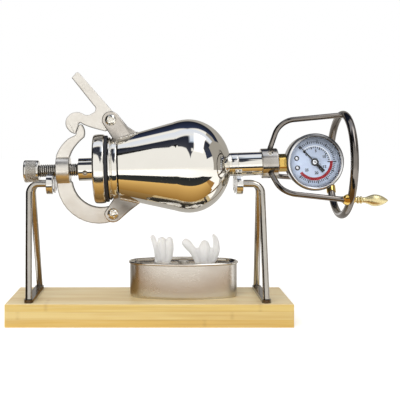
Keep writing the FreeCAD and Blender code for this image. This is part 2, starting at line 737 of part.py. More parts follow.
def screw_knob():
    """A round knob with straight knurling, slightly narrower towards the yoke."""
    narrow = KNOB_RADIUS - KNOB_TAPER
    profile = outline((KNOB_START, 0.0), (KNOB_START, KNOB_RADIUS - 0.8),
                      (KNOB_START + 0.8, KNOB_RADIUS), (THREAD_START - 0.8, narrow),
                      (THREAD_START, narrow - 0.8), (THREAD_START, 0.0))
    knob = turned(profile)
    knob = knob.cut(bar(KNOB_SPIGOT + FIT, THREAD_START - KNOB_SPIGOT_LENGTH - FIT, THREAD_START + 1))
    middle = (KNOB_START + THREAD_START) / 2
    length = THREAD_START - KNOB_START - 3.6
    grooves = []
    for number in range(KNOB_GROOVES):
        cutter = Part.makeBox(length, 0.9, 0.9, Vector(middle - length / 2, -0.45, -0.45))
        cutter.rotate(Vector(0, 0, 0), Vector(1, 0, 0), 45)
        cutter.translate(Vector(0, 0, KNOB_RADIUS - KNOB_TAPER / 2 + 0.1))
        cutter.rotate(Vector(0, 0, 0), Vector(1, 0, 0), 360 * number / KNOB_GROOVES)
        grooves.append(cutter)
    return knob.cut(grooves)


# ---- yoke and lever ----
def polar(centre, radius, angle):
    """A point at a radius and an angle (from +u, upwards) about a centre (u, w)."""
    return (centre[0] + radius * cos(radians(angle)), centre[1] + radius * sin(radians(angle)))


def yoke_boss():
    boss = tube(SCREW_RADIUS + RUN, BOSS_RADIUS, BOSS_START, BOSS_END)
    rims = [edge for edge in boss.Edges if abs(edge.Length - 2 * pi * BOSS_RADIUS) < 0.01]
    return boss.makeChamfer(0.6, rims)


def steps_from(place, *steps):
    """Outline steps given from a place (u, w), moved to it."""
    moved = []
    for step in steps:
        if isinstance(step[0], tuple):
            moved.append(tuple((place[0] + u, place[1] + w) for u, w in step))
        else:
            moved.append((place[0] + step[0], place[1] + step[1]))
    return moved


def yoke_upper_arm():
    """The arm from the boss up to the nose that the latch hook holds.

    The nose's outer face slopes as the hook's tip travels when lever and yoke open together,
    so its points are given from the lever's pivot, and the root's points from the boss.
    """
    outside = steps_from((BOSS_START, BOSS_RADIUS), (0.0, -7.0), (0.0, 0.5), ((4.8, 9.4), (12.3, 16.8)))
    nose = steps_from(LEVER_PIVOT, (-35.6, -13.7), ((-33.6, -12.3), (-33.2, -10.5)),
                      (-30.7, -4.2), ((-28.6, -3.1), (-26.9, -4.7)),
                      ((-25.2, -10.2), (-26.1, -15.4)))
    inside = steps_from((BOSS_END, BOSS_RADIUS), ((8.4, 12.6), (2.1, 4.6)), (-0.1, -0.3), (-0.1, -7.0))
    arm = plate(outline(*outside, *nose, *inside), -PLATE_HALF, PLATE_HALF)
    return arm.cut(boss_form())


def yoke_lower_arm():
    """The round arm from the boss down to the yoke's hinge, with its eye."""
    outer = (polar(YOKE_CENTRE, YOKE_OUTER, 238), polar(YOKE_CENTRE, YOKE_OUTER - 1.5, 275))
    inner_start = polar(YOKE_CENTRE, YOKE_INNER, 271)
    inner = (polar(YOKE_CENTRE, YOKE_INNER, 225), polar(YOKE_CENTRE, YOKE_INNER + 1.2, 187.6))
    face = outline((BOSS_START, 7.0 - BOSS_RADIUS), (BOSS_START, 1.0 - BOSS_RADIUS), outer,
                   inner_start, inner, (BOSS_END, 3.0 - BOSS_RADIUS), (BOSS_END, 7.0 - BOSS_RADIUS))
    arm = plate(face, -PLATE_HALF, PLATE_HALF)
    arm = arm.fuse(pin(EAR_EYE - 0.6, -PLATE_HALF, PLATE_HALF, *YOKE_PIVOT))
    arm = arm.cut(boss_form())
    return arm.cut(pin(PIVOT_RADIUS + RUN, -BOSS_RADIUS, BOSS_RADIUS, *YOKE_PIVOT)).removeSplitter()


def boss_form():
    """What the boss takes out of the two arms that are welded on it."""
    return bar(BOSS_RADIUS + FIT, BOSS_START - BOSS_LENGTH, BOSS_END + BOSS_LENGTH)


def release_lever():
    """The latch lever: a straight handle, an eye and a hook that curls over the nose."""
    handle = [(-35.7, 41.1), (-15.6, 14.1), ((-14.2, 10.1), (-17.4, 7.0)),
              ((-21.6, 5.4), (-25.8, 6.5))]
    hook = [((-33.4, 8.6), (-39.8, 5.5)), ((-43.0, -1.5), (-40.9, -7.4)),
            ((-38.2, -10.2), (-34.7, -11.9)), (-33.95, -11.1), (-31.3, -4.0),
            ((-29.8, -1.8), (-27.4, -2.7)), ((-21.4, -5.5), (-15.0, -7.7)), (-5.7, -10.5)]
    back = [(polar((0, 0), LEVER_EYE, -40), polar((0, 0), LEVER_EYE, 38)),
            (-28.3, 45.1), ((-30.0, 46.1), (-31.6, 45.5))]
    face = outline(*steps_from(LEVER_PIVOT, *handle, *hook, *back))
    lever = plate(face, -PLATE_HALF, PLATE_HALF)
    return lever.cut(pin(PIVOT_RADIUS + RUN, -BOSS_RADIUS, BOSS_RADIUS, *LEVER_PIVOT))


def ears(face, pivot, form):
    """A pair of plates welded on the bottle, with round eyes for the pivot screw."""
    near = PLATE_HALF + SIDE_GAP
    pair = []
    for y_from, y_to in ((near, near + EAR_THICKNESS), (-near - EAR_THICKNESS, -near)):
        solid = plate(face, y_from, y_to).fuse(pin(EAR_EYE, y_from, y_to, *pivot))
        solid = solid.cut(form).cut(pin(PIVOT_RADIUS + FIT, -20, 20, *pivot)).removeSplitter()
        pair.append(max(solid.Solids, key=lambda piece: piece.Volume))
    return Part.makeCompound(pair)


def upper_ear_face():
    """From the eye down to the bottle's cone; its right edge runs down the slope."""
    centre, eye = (0, 0), EAR_EYE
    return outline(*steps_from(LEVER_PIVOT, polar(centre, eye, 200), polar(centre, eye, 45),
                               (15.4, -6.6), (26.0, -13.5), (26.0, -27.1), (4.5, -27.1),
                               (1.5, -18.1)))


def lower_ear_face():
    centre, eye = (0, 0), EAR_EYE
    return outline(*steps_from(YOKE_PIVOT, polar(centre, eye, 170), polar(centre, eye, -50),
                               (16.6, 2.8), (26.3, 9.7), (26.3, 23.3), (5.1, 23.3), (2.1, 15.8)))


def pivot_screw(pivot):
    """A pan-head screw with a cross recess, from the front through ears and plate."""
    near = PLATE_HALF + SIDE_GAP + EAR_THICKNESS
    shank = pin(PIVOT_RADIUS, -near - 0.5, near + PIVOT_NUT_HEIGHT + 1.0, *pivot)
    head = pin(PIVOT_HEAD_RADIUS, -near - PIVOT_HEAD_HEIGHT, -near, *pivot)
    rims = [edge for edge in head.Edges
            if abs(edge.Length - 2 * pi * PIVOT_HEAD_RADIUS) < 0.01
            and edge.BoundBox.YMin < -near - PIVOT_HEAD_HEIGHT + 0.01]
    head = head.makeFillet(PIVOT_HEAD_HEIGHT * 0.6, rims)
    screw = head.fuse(shank)
    front = -near - PIVOT_HEAD_HEIGHT - 0.1
    for turn in (20, 110):
        blade = Part.makeBox(6.0, 1.8, 1.2, Vector(-3.0, 0, -0.6))
        blade.rotate(Vector(0, 0, 0), Vector(0, 1, 0), turn)
        blade.translate(Vector(pivot[0], front, pivot[1]))
        screw = screw.cut(blade)
    return screw.removeSplitter()


def pivot_nuts():
    near = PLATE_HALF + SIDE_GAP + EAR_THICKNESS
    nuts = []
    for pivot in (LEVER_PIVOT, YOKE_PIVOT):
        nut = hexagon(PIVOT_NUT_FLATS, PIVOT_NUT_HEIGHT, Vector(pivot[0], near, pivot[1]),
                      Vector(0, 1, 0))
        nuts.append(nut.cut(pin(PIVOT_RADIUS + FIT, near - 1, near + 10, *pivot)))
    return Part.makeCompound(nuts)


# ---- pressure gauge ----
def gauge_adapter():
    """A brass hexagon with the pipe stub through it."""
    stop = GAUGE_U - CASE_RADIUS - 0.1
    hexagonal = hexagon(HEX_FLATS, stop - HEX_START, Vector(HEX_START, 0, 0), Vector(1, 0, 0), 30)
    crown = bar(HEX_FLATS / 2 + 0.75, HEX_START - 1, stop + 1)
    hexagonal = hexagonal.common(crown)
    shoulder_ring = bar(HEX_FLATS / 2 - 1.0, HUB_END, HEX_START)
    adapter = hexagonal.fuse(shoulder_ring)
    return adapter.cut(bar(SOCKET_TUBE_RADIUS + FIT, HUB_END - 1, stop + 1)).removeSplitter()


def gauge_socket():
    """The stub that carries the gauge and feeds its curved tube."""
    stub_end = GAUGE_U - TUBE_RING_RADIUS + TUBE_HALF_THICKNESS + 0.3
    stub = bar(SOCKET_TUBE_RADIUS, SPOKE_U + SPOKE_RADIUS + 1.0, stub_end)
    bore = bar(1.5, SPOKE_U, stub_end - 3.0)
    foot = Part.makeBox(7.0, 2.5, 7.0, Vector(stub_end - 1.0, movement_back(), -3.5))
    return stub.cut(bore).fuse(foot).cut(tube_ring(0.1)).removeSplitter()


def gauge_case():
    case = pin(CASE_RADIUS, CASE_FRONT, CASE_BACK, GAUGE_U)
    back = [edge for edge in case.Edges
            if abs(edge.Length - 2 * pi * CASE_RADIUS) < 0.01 and edge.BoundBox.YMin > 0]
    case = case.makeFillet(2.0, back)
    case = case.cut(pin(CASE_RADIUS - CASE_WALL, CASE_FRONT - 1, CASE_BACK - CASE_WALL, GAUGE_U))
    return case.cut(bar(SOCKET_TUBE_RADIUS + FIT, GAUGE_U - CASE_RADIUS - 2, GAUGE_U - 15))


def gauge_bezel():
    bezel = pin(BEZEL_RADIUS, BEZEL_FRONT, BEZEL_BACK, GAUGE_U)
    rims = [edge for edge in bezel.Edges
            if abs(edge.Length - 2 * pi * BEZEL_RADIUS) < 0.01
            and edge.BoundBox.YMin < BEZEL_FRONT + 0.01]
    bezel = bezel.makeFillet(1.2, rims)
    bezel = bezel.cut(pin(BEZEL_WINDOW, BEZEL_FRONT - 1, BEZEL_FRONT + 5, GAUGE_U))
    return bezel.cut(pin(CASE_RADIUS + FIT, BEZEL_FRONT + BEZEL_LIP, BEZEL_BACK + 1, GAUGE_U))


def gauge_lens():
    front = BEZEL_FRONT + BEZEL_LIP
    return pin(CASE_RADIUS - 0.1, front, front + LENS_THICKNESS, GAUGE_U)


def gauge_dial():
    dial = pin(CASE_RADIUS - CASE_WALL - 0.1, DIAL_FRONT, DIAL_FRONT + DIAL_THICKNESS, GAUGE_U)
    dial = dial.cut(pin(STAFF_RADIUS + 0.4, DIAL_FRONT - 1, DIAL_FRONT + 2, GAUGE_U))
    for across, up in DIAL_SCREW_AT:
        dial = dial.cut(pin(DIAL_SCREW_RADIUS * 0.5 + FIT, DIAL_FRONT - 1, DIAL_FRONT + 2,
                            GAUGE_U + across, up))
    return dial


def dial_screws():
    """Two small slotted screws that hold the dial on the movement's front plate."""
    every = []
    for across, up in DIAL_SCREW_AT:
        head = pin(DIAL_SCREW_RADIUS, DIAL_FRONT - 0.7, DIAL_FRONT, GAUGE_U + across, up)
        slot = Part.makeBox(0.5, 0.4, 4.0, Vector(GAUGE_U + across - 0.25, DIAL_FRONT - 0.8, up - 2))
        shank = pin(DIAL_SCREW_RADIUS * 0.5, DIAL_FRONT - 0.1, movement_front() + MOVEMENT_PLATE,
                    GAUGE_U + across, up)
        every.append(head.cut(slot).fuse(shank))
    return Part.makeCompound(every)


def movement_front():
    return DIAL_FRONT + DIAL_THICKNESS + 0.4


def movement_back():
    return movement_front() + 2 * MOVEMENT_PLATE + MOVEMENT_GAP


def gauge_movement():
    """Two plates and three posts that carry the dial, the pointer's staff and the sector."""
    low, high = -SECTOR_RADIUS - PINION_RADIUS - 4.0, 6.0
    left, right = -18.4, 6.0
    front, back = movement_front(), movement_back()
    pieces = []
    for start in (front, back - MOVEMENT_PLATE):
        pieces.append(Part.makeBox(right - left, MOVEMENT_PLATE, high - low,
                                   Vector(GAUGE_U + left, start, low)))
    for across, up in ((-12.0, high - 1.5), (right - 1.5, high - 1.5), (-12.0, low + 1.5)):
        pieces.append(pin(1.0, front + 0.2, back - 0.2, GAUGE_U + across, up))
    frame = pieces[0].fuse(pieces[1:])
    for up in (0.0, sector_drop()):
        frame = frame.cut(pin(STAFF_RADIUS + RUN, front - 1, back + 1, GAUGE_U, up))
    for across, up in DIAL_SCREW_AT:
        frame = frame.cut(pin(DIAL_SCREW_RADIUS * 0.5 + FIT, front - 1, front + MOVEMENT_PLATE + 0.1,
                              GAUGE_U + across, up))
    return frame.removeSplitter()


def sector_drop():
    """Height of the sector's pivot under the pointer's staff."""
    return -(SECTOR_RADIUS + PINION_RADIUS + 0.1)


def gauge_pointer():
    """Needle, hub, staff and pinion, drawn at zero."""
    half_tail, half_tip = POINTER_TAIL_WIDTH / 2, POINTER_TIP_WIDTH / 2
    face = outline((-half_tail * 0.75, -POINTER_TAIL), (-half_tail, -POINTER_HUB_RADIUS),
                   (-half_tip, POINTER_LENGTH - 2.0), (0.0, POINTER_LENGTH),
                   (half_tip, POINTER_LENGTH - 2.0), (half_tail, -POINTER_HUB_RADIUS),
                   (half_tail * 0.75, -POINTER_TAIL))
    needle = plate(face, POINTER_FRONT, POINTER_FRONT + POINTER_THICKNESS)
    hub = pin(POINTER_HUB_RADIUS, POINTER_FRONT - 0.5, POINTER_FRONT + POINTER_THICKNESS + 0.6)
    staff = pin(STAFF_RADIUS, POINTER_FRONT, movement_back() - 0.2)
    pinion_y = movement_front() + MOVEMENT_PLATE + (MOVEMENT_GAP - SECTOR_THICKNESS) / 2
    pinion = pin(PINION_RADIUS, pinion_y - 0.2, pinion_y + SECTOR_THICKNESS + 0.2)
    pointer = needle.fuse([hub, staff, pinion])
    pointer.rotate(Vector(0, 0, 0), Vector(0, 1, 0), POINTER_REST)
    pointer.translate(Vector(GAUGE_U, 0, 0))
    return pointer.removeSplitter()


def gauge_sector():
    """The toothed sector, drawn with its pitch surface, at the pointer's zero."""
    low, high = 90 - SECTOR_TURN - SECTOR_HALF_PLAY, 90 + SECTOR_HALF_PLAY
    start, end = polar((0, 0), SECTOR_RADIUS, low), polar((0, 0), SECTOR_RADIUS, high)
    face = outline((0.0, 0.0), start, (polar((0, 0), SECTOR_RADIUS, (low + high) / 2), end))
    y_from = movement_front() + MOVEMENT_PLATE + (MOVEMENT_GAP - SECTOR_THICKNESS) / 2
    blade = plate(face, y_from, y_from + SECTOR_THICKNESS)
    hub = pin(1.6, y_from - 0.3, y_from + SECTOR_THICKNESS + 0.3)
    staff = pin(STAFF_RADIUS, movement_front() + 0.1, movement_back() - 0.1)
    sector = blade.fuse([hub, staff]).removeSplitter()
    sector.translate(Vector(GAUGE_U, 0, sector_drop()))
    return sector


def tube_ring(gap=0.0):
    """The flattened, curved pressure tube, from the socket round most of the case."""
    start = Vector(GAUGE_U - TUBE_RING_RADIUS, movement_back() + TUBE_BEHIND_MOVEMENT, 0)
    half_w, half_t = TUBE_HALF_WIDTH + gap, TUBE_HALF_THICKNESS + gap
    corners = [start + Vector(across, along, 0) for across, along in
               ((-half_t, -half_w), (half_t, -half_w), (half_t, half_w), (-half_t, half_w))]
    section = Part.Face(Part.makePolygon(corners + corners[:1]))
    return section.revolve(Vector(GAUGE_U, 0, 0), Vector(0, 1, 0), TUBE_SWEEP)


# ---- spirit burner ----
def oval(half_length, half_width, end_radius, z):
    """A four-arc oval: two round ends joined by two flatter sides."""
    reach = half_length - end_radius
    drop = (reach ** 2 - (half_width - end_radius) ** 2) / (2 * (half_width - end_radius))
    scale = end_radius / sqrt(reach ** 2 + drop ** 2)
    join_x, join_y = reach + reach * scale, drop * scale
    corners = [(join_x, -join_y), (join_x, join_y), (-join_x, join_y), (-join_x, -join_y)]
    vias = [(half_length, 0), (0, half_width), (-half_length, 0), (0, -half_width)]
    edges = []
    for number in range(4):
        first, last = corners[number], corners[(number + 1) % 4]
        points = [Vector(TIN_X + x, y, z) for x, y in (first, vias[number], last)]
        edges.append(Part.Arc(*points).toShape())
    return Part.Face(Part.Wire(edges))


def oval_prism(inset, z_from, z_to):
    """The burner's oval, drawn in by an inset, between two heights."""
    face = oval(TIN_HALF_LENGTH - inset, TIN_HALF_WIDTH - inset, TIN_END_RADIUS - inset, z_from)
    return face.extrude(Vector(0, 0, z_to - z_from))


def burner_tin():
    """The oval tin with a rolled rim round its open top."""
    can = oval_prism(0.0, BOARD_TOP, TIN_TOP)
    bottom = [edge for edge in can.Edges if edge.BoundBox.ZMax < BOARD_TOP + 0.01]
    can = can.makeFillet(1.5, bottom)
    rim = oval_prism(-RIM_PROUD, TIN_TOP - RIM_HEIGHT, TIN_TOP)
    rim_edges = [edge for edge in rim.Edges if edge.BoundBox.ZLength < 0.01]
    rim = rim.makeFillet(RIM_PROUD * 0.7, rim_edges)
    hollow = oval_prism(TIN_WALL, BOARD_TOP + TIN_WALL, TIN_TOP + 1)
    return can.fuse(rim).cut(hollow).removeSplitter()


def burner_top():
    """The sunk plate that closes the tin, bored for the wick holders and the filler cap."""
    top = oval_prism(TIN_WALL + FIT, TOP_PLATE_Z - TIN_WALL, TOP_PLATE_Z)
    for x in (TIN_X - WICK_SPREAD, TIN_X + WICK_SPREAD):
        top = top.cut(Part.makeCylinder(HOLDER_RADIUS + FIT, 4, Vector(x, 0, TOP_PLATE_Z - 2)))
    return top.cut(Part.makeCylinder(CAP_RADIUS - 1.5 + FIT, 4, Vector(TIN_X, 0, TOP_PLATE_Z - 2)))


def wick_holders():
    """Two short pipes with a domed flange, one for each wick."""
    every = []
    for x in (TIN_X - WICK_SPREAD, TIN_X + WICK_SPREAD):
        pipe = Part.makeCylinder(HOLDER_RADIUS, HOLDER_DEPTH + HOLDER_RISE,
                                 Vector(x, 0, TOP_PLATE_Z - HOLDER_DEPTH))
        flange = Part.makeCone(HOLDER_FLANGE, HOLDER_RADIUS + 0.6, 1.8, Vector(x, 0, TOP_PLATE_Z))
        bore = Part.makeCylinder(WICK_RADIUS + 0.3, HOLDER_DEPTH + 6,
                                 Vector(x, 0, TOP_PLATE_Z - HOLDER_DEPTH - 1))
        every.append(pipe.fuse(flange).cut(bore))
    return Part.makeCompound(every)


def filler_cap():
    plug = Part.makeCylinder(CAP_RADIUS - 1.5, 3.0, Vector(TIN_X, 0, TOP_PLATE_Z - 2.0))
    cap = Part.makeCylinder(CAP_RADIUS, CAP_HEIGHT, Vector(TIN_X, 0, TOP_PLATE_Z))
    rims = [edge for edge in cap.Edges if edge.BoundBox.ZMin > TOP_PLATE_Z + CAP_HEIGHT - 0.01]
    return cap.makeFillet(0.8, rims).fuse(plug).removeSplitter()


def wick(x, strands):
    """A cotton wick: a stem in the holder, a swollen tuft and strands that curl out of it.

    Each strand gives the middle and the tip of its curve, (sideways, up) from the tuft's root.
    """
    root = Vector(x, 0, TOP_PLATE_Z + HOLDER_RISE + 0.6)
    stem_z = BOARD_TOP + TIN_WALL + WADDING_HEIGHT + 0.3
    swell_z = root.z + TUFT_HEIGHT
    tuft = [Part.makeCylinder(WICK_RADIUS, root.z - stem_z, Vector(x, 0, stem_z)),
            Part.makeCone(WICK_RADIUS, TUFT_RADIUS, TUFT_HEIGHT, root),
            Part.makeSphere(TUFT_RADIUS, Vector(x, 0, swell_z))]
    for side, (middle, tip) in enumerate(strands):
        depth = STRAND_RADIUS * (0.5 if side % 2 else -0.5)
        points = [root + Vector(0, depth, STRAND_RADIUS * 2)]
        points += [root + Vector(across, depth, up) for across, up in (middle, tip)]
        curve = Part.Arc(*points).toShape()
        circle = Part.Wire([Part.makeCircle(STRAND_RADIUS, points[0], curve.tangentAt(0))])
        tuft.append(Part.Wire([curve]).makePipeShell([circle], True, True))
        tuft.append(Part.makeSphere(STRAND_RADIUS, points[2]))
    return tuft[0].fuse(tuft[1:]).removeSplitter()


def fuel_wadding():
    """Cotton packing in the bottom of the tin, which soaks up the spirit."""
    inset = TIN_WALL + 0.4
    bottom = BOARD_TOP + TIN_WALL + 0.05
    return oval_prism(inset, bottom, bottom + WADDING_HEIGHT)


def build():
    save("base_board", base_board())
    save("stand_screws", Part.makeCompound([stand_screw(x, y) for x in (LEFT_FOOT_X, RIGHT_FOOT_X)
                                            for y in (-STAND_SCREW_Y, STAND_SCREW_Y)]))
    ends = {"left": (LEFT_FOOT_X, LEFT_TOP_X, LEFT_ROLLER_X),
            "right": (RIGHT_FOOT_X, RIGHT_TOP_X, RIGHT_ROLLER_X)}
    save("foot_strips", Part.makeCompound([foot_strip(LEFT_FOOT_X), foot_strip(RIGHT_FOOT_X)]))
    for end, (foot_x, top_x, roller_x) in ends.items():
        for side_name, side in (("front", -1), ("back", 1)):
            save("%s_%s_leg" % (end, side_name), stand_leg(foot_x, top_x, roller_x, side))
    save("bearing_inner_rings", Part.makeCompound([inner_ring(*place) for place in BEARINGS.values()]))
    save("bearing_balls", balls())
    for place_name, place in BEARINGS.items():
        save("%s_roller" % place_name, roller(*place))

    on_wheel = {
        "upper_spoke": spoke(SPOKE_ANGLES[0]),
        "front_spoke": spoke(SPOKE_ANGLES[1], to_eyelet=True),
        "back_spoke": spoke(SPOKE_ANGLES[2]),
        "wheel_ring": wheel_torus(),
        "ring_ferrule": ring_ferrule(),
        "handle_eyelet": handle_eyelet(),
        "handle_neck": handle_neck(),
        "handle_pin": handle_pin(),
        "handle_grip": handle_grip(),
    }
    for name, shape in on_wheel.items():
        save(name, rotor(leaning(shape)))

    form = bottle_form()
    on_rotor = {
        "pressure_bottle": pressure_bottle(),
        "mouth_flange": mouth_flange(),
        "neck_tube": neck_tube(),
        "neck_ring": neck_ring(),
        "hub_collar": hub_collar(),
        "hub_set_screws": hub_set_screws(),
        "lever_ears": ears(upper_ear_face(), LEVER_PIVOT, form),
        "yoke_ears": ears(lower_ear_face(), YOKE_PIVOT, form),
        "pivot_screws": Part.makeCompound([pivot_screw(LEVER_PIVOT), pivot_screw(YOKE_PIVOT)]),
        "pivot_nuts": pivot_nuts(),
        "release_lever": release_lever(),
        "yoke_boss": yoke_boss(),
        "yoke_upper_arm": yoke_upper_arm(),
        "yoke_lower_arm": yoke_lower_arm(),
        "lid_plate": lid_plate(),
        "lid_gasket": lid_gasket(),
        "lid_socket": lid_socket(),
        "lid_grub_screw": grub_screw(),
        "clamp_screw": clamp_screw(),
        "screw_knob": screw_knob(),
        "gauge_adapter": gauge_adapter(),
        "gauge_socket": gauge_socket(),
        "gauge_case": gauge_case(),
        "gauge_bezel": gauge_bezel(),
        "gauge_lens": gauge_lens(),
        "gauge_dial": gauge_dial(),
        "dial_screws": dial_screws(),
        "gauge_movement": gauge_movement(),
        "gauge_pointer": gauge_pointer(),
        "gauge_sector": gauge_sector(),
        "gauge_tube": tube_ring(),
    }
    for name, shape in on_rotor.items():
        save(name, rotor(shape))

    save("burner_tin", burner_tin())
    save("burner_top", burner_top())
    save("wick_holders", wick_holders())
    save("filler_cap", filler_cap())
    save("left_wick", wick(TIN_X - WICK_SPREAD, LEFT_STRANDS))
    save("right_wick", wick(TIN_X + WICK_SPREAD, RIGHT_STRANDS))
    save("fuel_wadding", fuel_wadding())
    print("%d pieces, tilt %.3f degrees, axis height %.2f mm" % (len(made), TILT, AXIS_Z))


build()
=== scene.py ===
"""Looks of the hand-cranked popcorn cannon: studio, finishes and the pieces that CAD leaves plain.

Metres, +Z up, in the CAD part's frame.  What turns on the rollers has a frame of its own: u runs
along its axis towards the hand wheel, y is the CAD frame's Y and w points up; on_rotor() carries
(u, y, w) in millimetres to the CAD frame.  The pieces' sizes are millimetres too, multiplied by
MM where they become points.  A piece is made of patches, and a patch is (points, faces, uv).
"""
import bmesh
import bpy
import json
import numpy as np
from math import cos, pi, radians, sin, sqrt
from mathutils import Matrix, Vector


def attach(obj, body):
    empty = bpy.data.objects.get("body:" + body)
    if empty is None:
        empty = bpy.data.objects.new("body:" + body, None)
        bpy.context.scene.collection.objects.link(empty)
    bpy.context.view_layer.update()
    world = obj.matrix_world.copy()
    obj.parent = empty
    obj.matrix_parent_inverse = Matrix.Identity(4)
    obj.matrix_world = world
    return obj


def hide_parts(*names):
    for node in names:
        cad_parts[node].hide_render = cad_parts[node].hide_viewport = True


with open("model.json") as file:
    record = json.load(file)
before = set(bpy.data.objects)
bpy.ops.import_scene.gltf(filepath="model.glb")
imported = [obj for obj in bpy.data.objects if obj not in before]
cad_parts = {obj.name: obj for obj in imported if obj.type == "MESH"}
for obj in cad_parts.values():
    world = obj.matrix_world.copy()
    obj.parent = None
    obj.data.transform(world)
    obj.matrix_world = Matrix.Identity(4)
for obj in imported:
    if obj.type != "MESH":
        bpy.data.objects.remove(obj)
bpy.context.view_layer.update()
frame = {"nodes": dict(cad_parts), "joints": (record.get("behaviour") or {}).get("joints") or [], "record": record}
nodes = frame["nodes"]
MM = 0.001

spin = next(joint for joint in frame["joints"] if joint["name"] == "rotor_spin")
AXIS_AT = np.array(spin["pos_m"], float)
ALONG = np.array(spin["axis"], float) / np.linalg.norm(spin["axis"])
SIDE = np.array((0.0, 1.0, 0.0))
UP = np.cross(ALONG, SIDE)
LEVEL, UPRIGHT = np.array((1.0, 0.0, 0.0)), np.array((0.0, 0.0, 1.0))

# ---- sizes, mm: the CAD part's own wherever it has the piece ----
BOARD_TOP = 21.0
ROD_RADIUS, ROD_BEND, STRIP_TOP, FOOT_SPREAD = 3.0, 8.5, 24.0, 33.0
AXLE_Z, AXLE_Y, BEARING_RADIUS, BEARING_HALF = 127.0, 9.8, 9.5, 3.0
STANDS = {"left": (-109.3, -112.8, -93.0), "right": (105.9, 105.0, 84.0)}  # foot, top, roller x
DEPTHS = {"front": -1, "back": 1}                                          # sign of their y
FLANGE_START, FLANGE_END, FLANGE_RADIUS, MOUTH_BORE = -38.7, -29.6, 29.7, 24.0
BOTTLE_START, BOTTLE_START_RADIUS = -28.6, 28.85
CONE_END, CONE_END_RADIUS = 23.2, 41.8
BELLY_U, BELLY_RADIUS = 37.0, 44.2
SHOULDER_DEPTH = 40.0
BOTTLE_WALL = 2.5
NECK_RADIUS, NECK_BORE, NECK_END = 11.0, 7.0, 108.5
NECK_RING_START, NECK_RING_END, NECK_RING_WALL = 77.2, 83.6, 2.0
LID_START, LID_END, LID_RADIUS = -52.6, -41.5, 32.9
GASKET_END, GASKET_RADIUS, GASKET_BORE = -38.9, 31.5, 22.0
THREAD_START, THREAD_END, JOURNAL_END = -104.7, -67.2, -56.1
SCREW_RADIUS, SCREW_PITCH, THREAD_DEPTH, JOURNAL_RADIUS = 6.0, 2.0, 0.65, 4.95
KNOB_START, KNOB_RADIUS, KNOB_TAPER = -118.6, 10.65, 0.7
BOSS_START, BOSS_END, BOSS_RADIUS = -88.0, -75.2, 13.0
LEVER_PIVOT, LEVER_EYE = np.array((-35.0, 45.9)), 6.6
YOKE_PIVOT = np.array((-35.6, -42.3))
YOKE_CENTRE = np.array((-41.0, -8.0))
PLATE_HALF, EAR_GAP, EAR_THICKNESS, EAR_EYE = 4.0, 0.3, 3.0, 8.3
EAR_OUTSIDE = PLATE_HALF + EAR_GAP + EAR_THICKNESS
# each spoke's angle in degrees from the front upwards, and how far short of the wheel's u it ends
SPOKES = {"upper": (80.0, 1.8), "front": (-40.0, 6.4), "back": (200.0, 1.8)}
SPOKE_RADIUS, SPOKE_BEND = 2.5, 20.0
SPOKE_ROOT, SPOKE_CORNER = (112.0, 8.0), (121.4, 40.5)   # (u, distance out)
WHEEL_U, WHEEL_RADIUS, WHEEL_ROD_RADIUS = 182.2, 47.5, 3.6
LEAN_U, WHEEL_LEAN = 118.0, radians(3.2)
EYELET_BEFORE, EYELET_RADIUS = 1.6, 6.5
GRIP_START, GRIP_LENGTH = 193.0, 23.0
GAUGE_U = 154.6
BEZEL_BACK, BEZEL_RADIUS, BEZEL_BORE = -7.9, 26.7, 25.3
WINDOW_BACK, WINDOW_FRONT, WINDOW_RADIUS = -12.0, -13.6, 23.3
DIAL_BACK, DIAL_Y, DIAL_RADIUS = -8.0, -8.8, 23.9
PRINT_HEIGHT = 0.06
SCALE_START, SCALE_SWEEP, POINTER_REST = -45.0, 270.0, -42.0   # degrees clockwise from the top
TIN_X, TIN_HALF_LENGTH, TIN_HALF_WIDTH, TIN_END_RADIUS = 32.1, 50.5, 22.0, 15.0
TIN_TOP, TIN_WALL = 54.2, 0.8
TOP_PLATE_Z = 51.6
WICK_X = (TIN_X - 19.8, TIN_X + 19.8)


# ---- surfaces ----
def on_rotor(points):
    """Carry points (u, y, w) in millimetres from the rotor's frame to the CAD frame in metres."""
    points = np.asarray(points, float) * MM
    return AXIS_AT + points[..., :1] * ALONG + points[..., 1:2] * SIDE + points[..., 2:] * UP


def on_wheel(points):
    """The same for the hand wheel, which leans with its spokes about a point of the axis."""
    u, y, w = np.moveaxis(np.asarray(points, float), -1, 0)
    reach = u - LEAN_U
    return on_rotor(np.stack([LEAN_U + reach * cos(WHEEL_LEAN) + w * sin(WHEEL_LEAN), y,
                              w * cos(WHEEL_LEAN) - reach * sin(WHEEL_LEAN)], -1))


def full_turn(count):
    """Even angles of a full circle, without its end."""
    return np.linspace(0, 2 * pi, count, endpoint=False)


def travelled(points, axis):
    """Distance along one direction of a grid: the running sum of the mean step, one value more
    than there are points, because a closed direction steps back to its start."""
    steps = np.linalg.norm(np.roll(points, -1, axis) - points, axis=-1).mean(1 - axis)
    return np.concatenate([[0.0], np.cumsum(steps)])


def grid(points, ring=False, loop=False):
    """A patch over an array of points (rows, columns): a quad joins each point to its next
    neighbours, ring closes every row on itself and loop closes the last row on the first."""
    rows, columns = points.shape[:2]
    row, column = np.meshgrid(np.arange(rows - (not loop)), np.arange(columns - (not ring)),
                              indexing="ij")
    corners = ((row, column), (row, column + 1), (row + 1, column + 1), (row + 1, column))
    faces = np.stack([(r % rows) * columns + c % columns for r, c in corners], -1).reshape(-1, 4)
    across, along = travelled(points, 1), travelled(points, 0)
    uv = np.stack([np.stack([across[c], along[r]], -1) for r, c in corners], -2).reshape(-1, 2)
    return points.reshape(-1, 3), faces.tolist(), uv


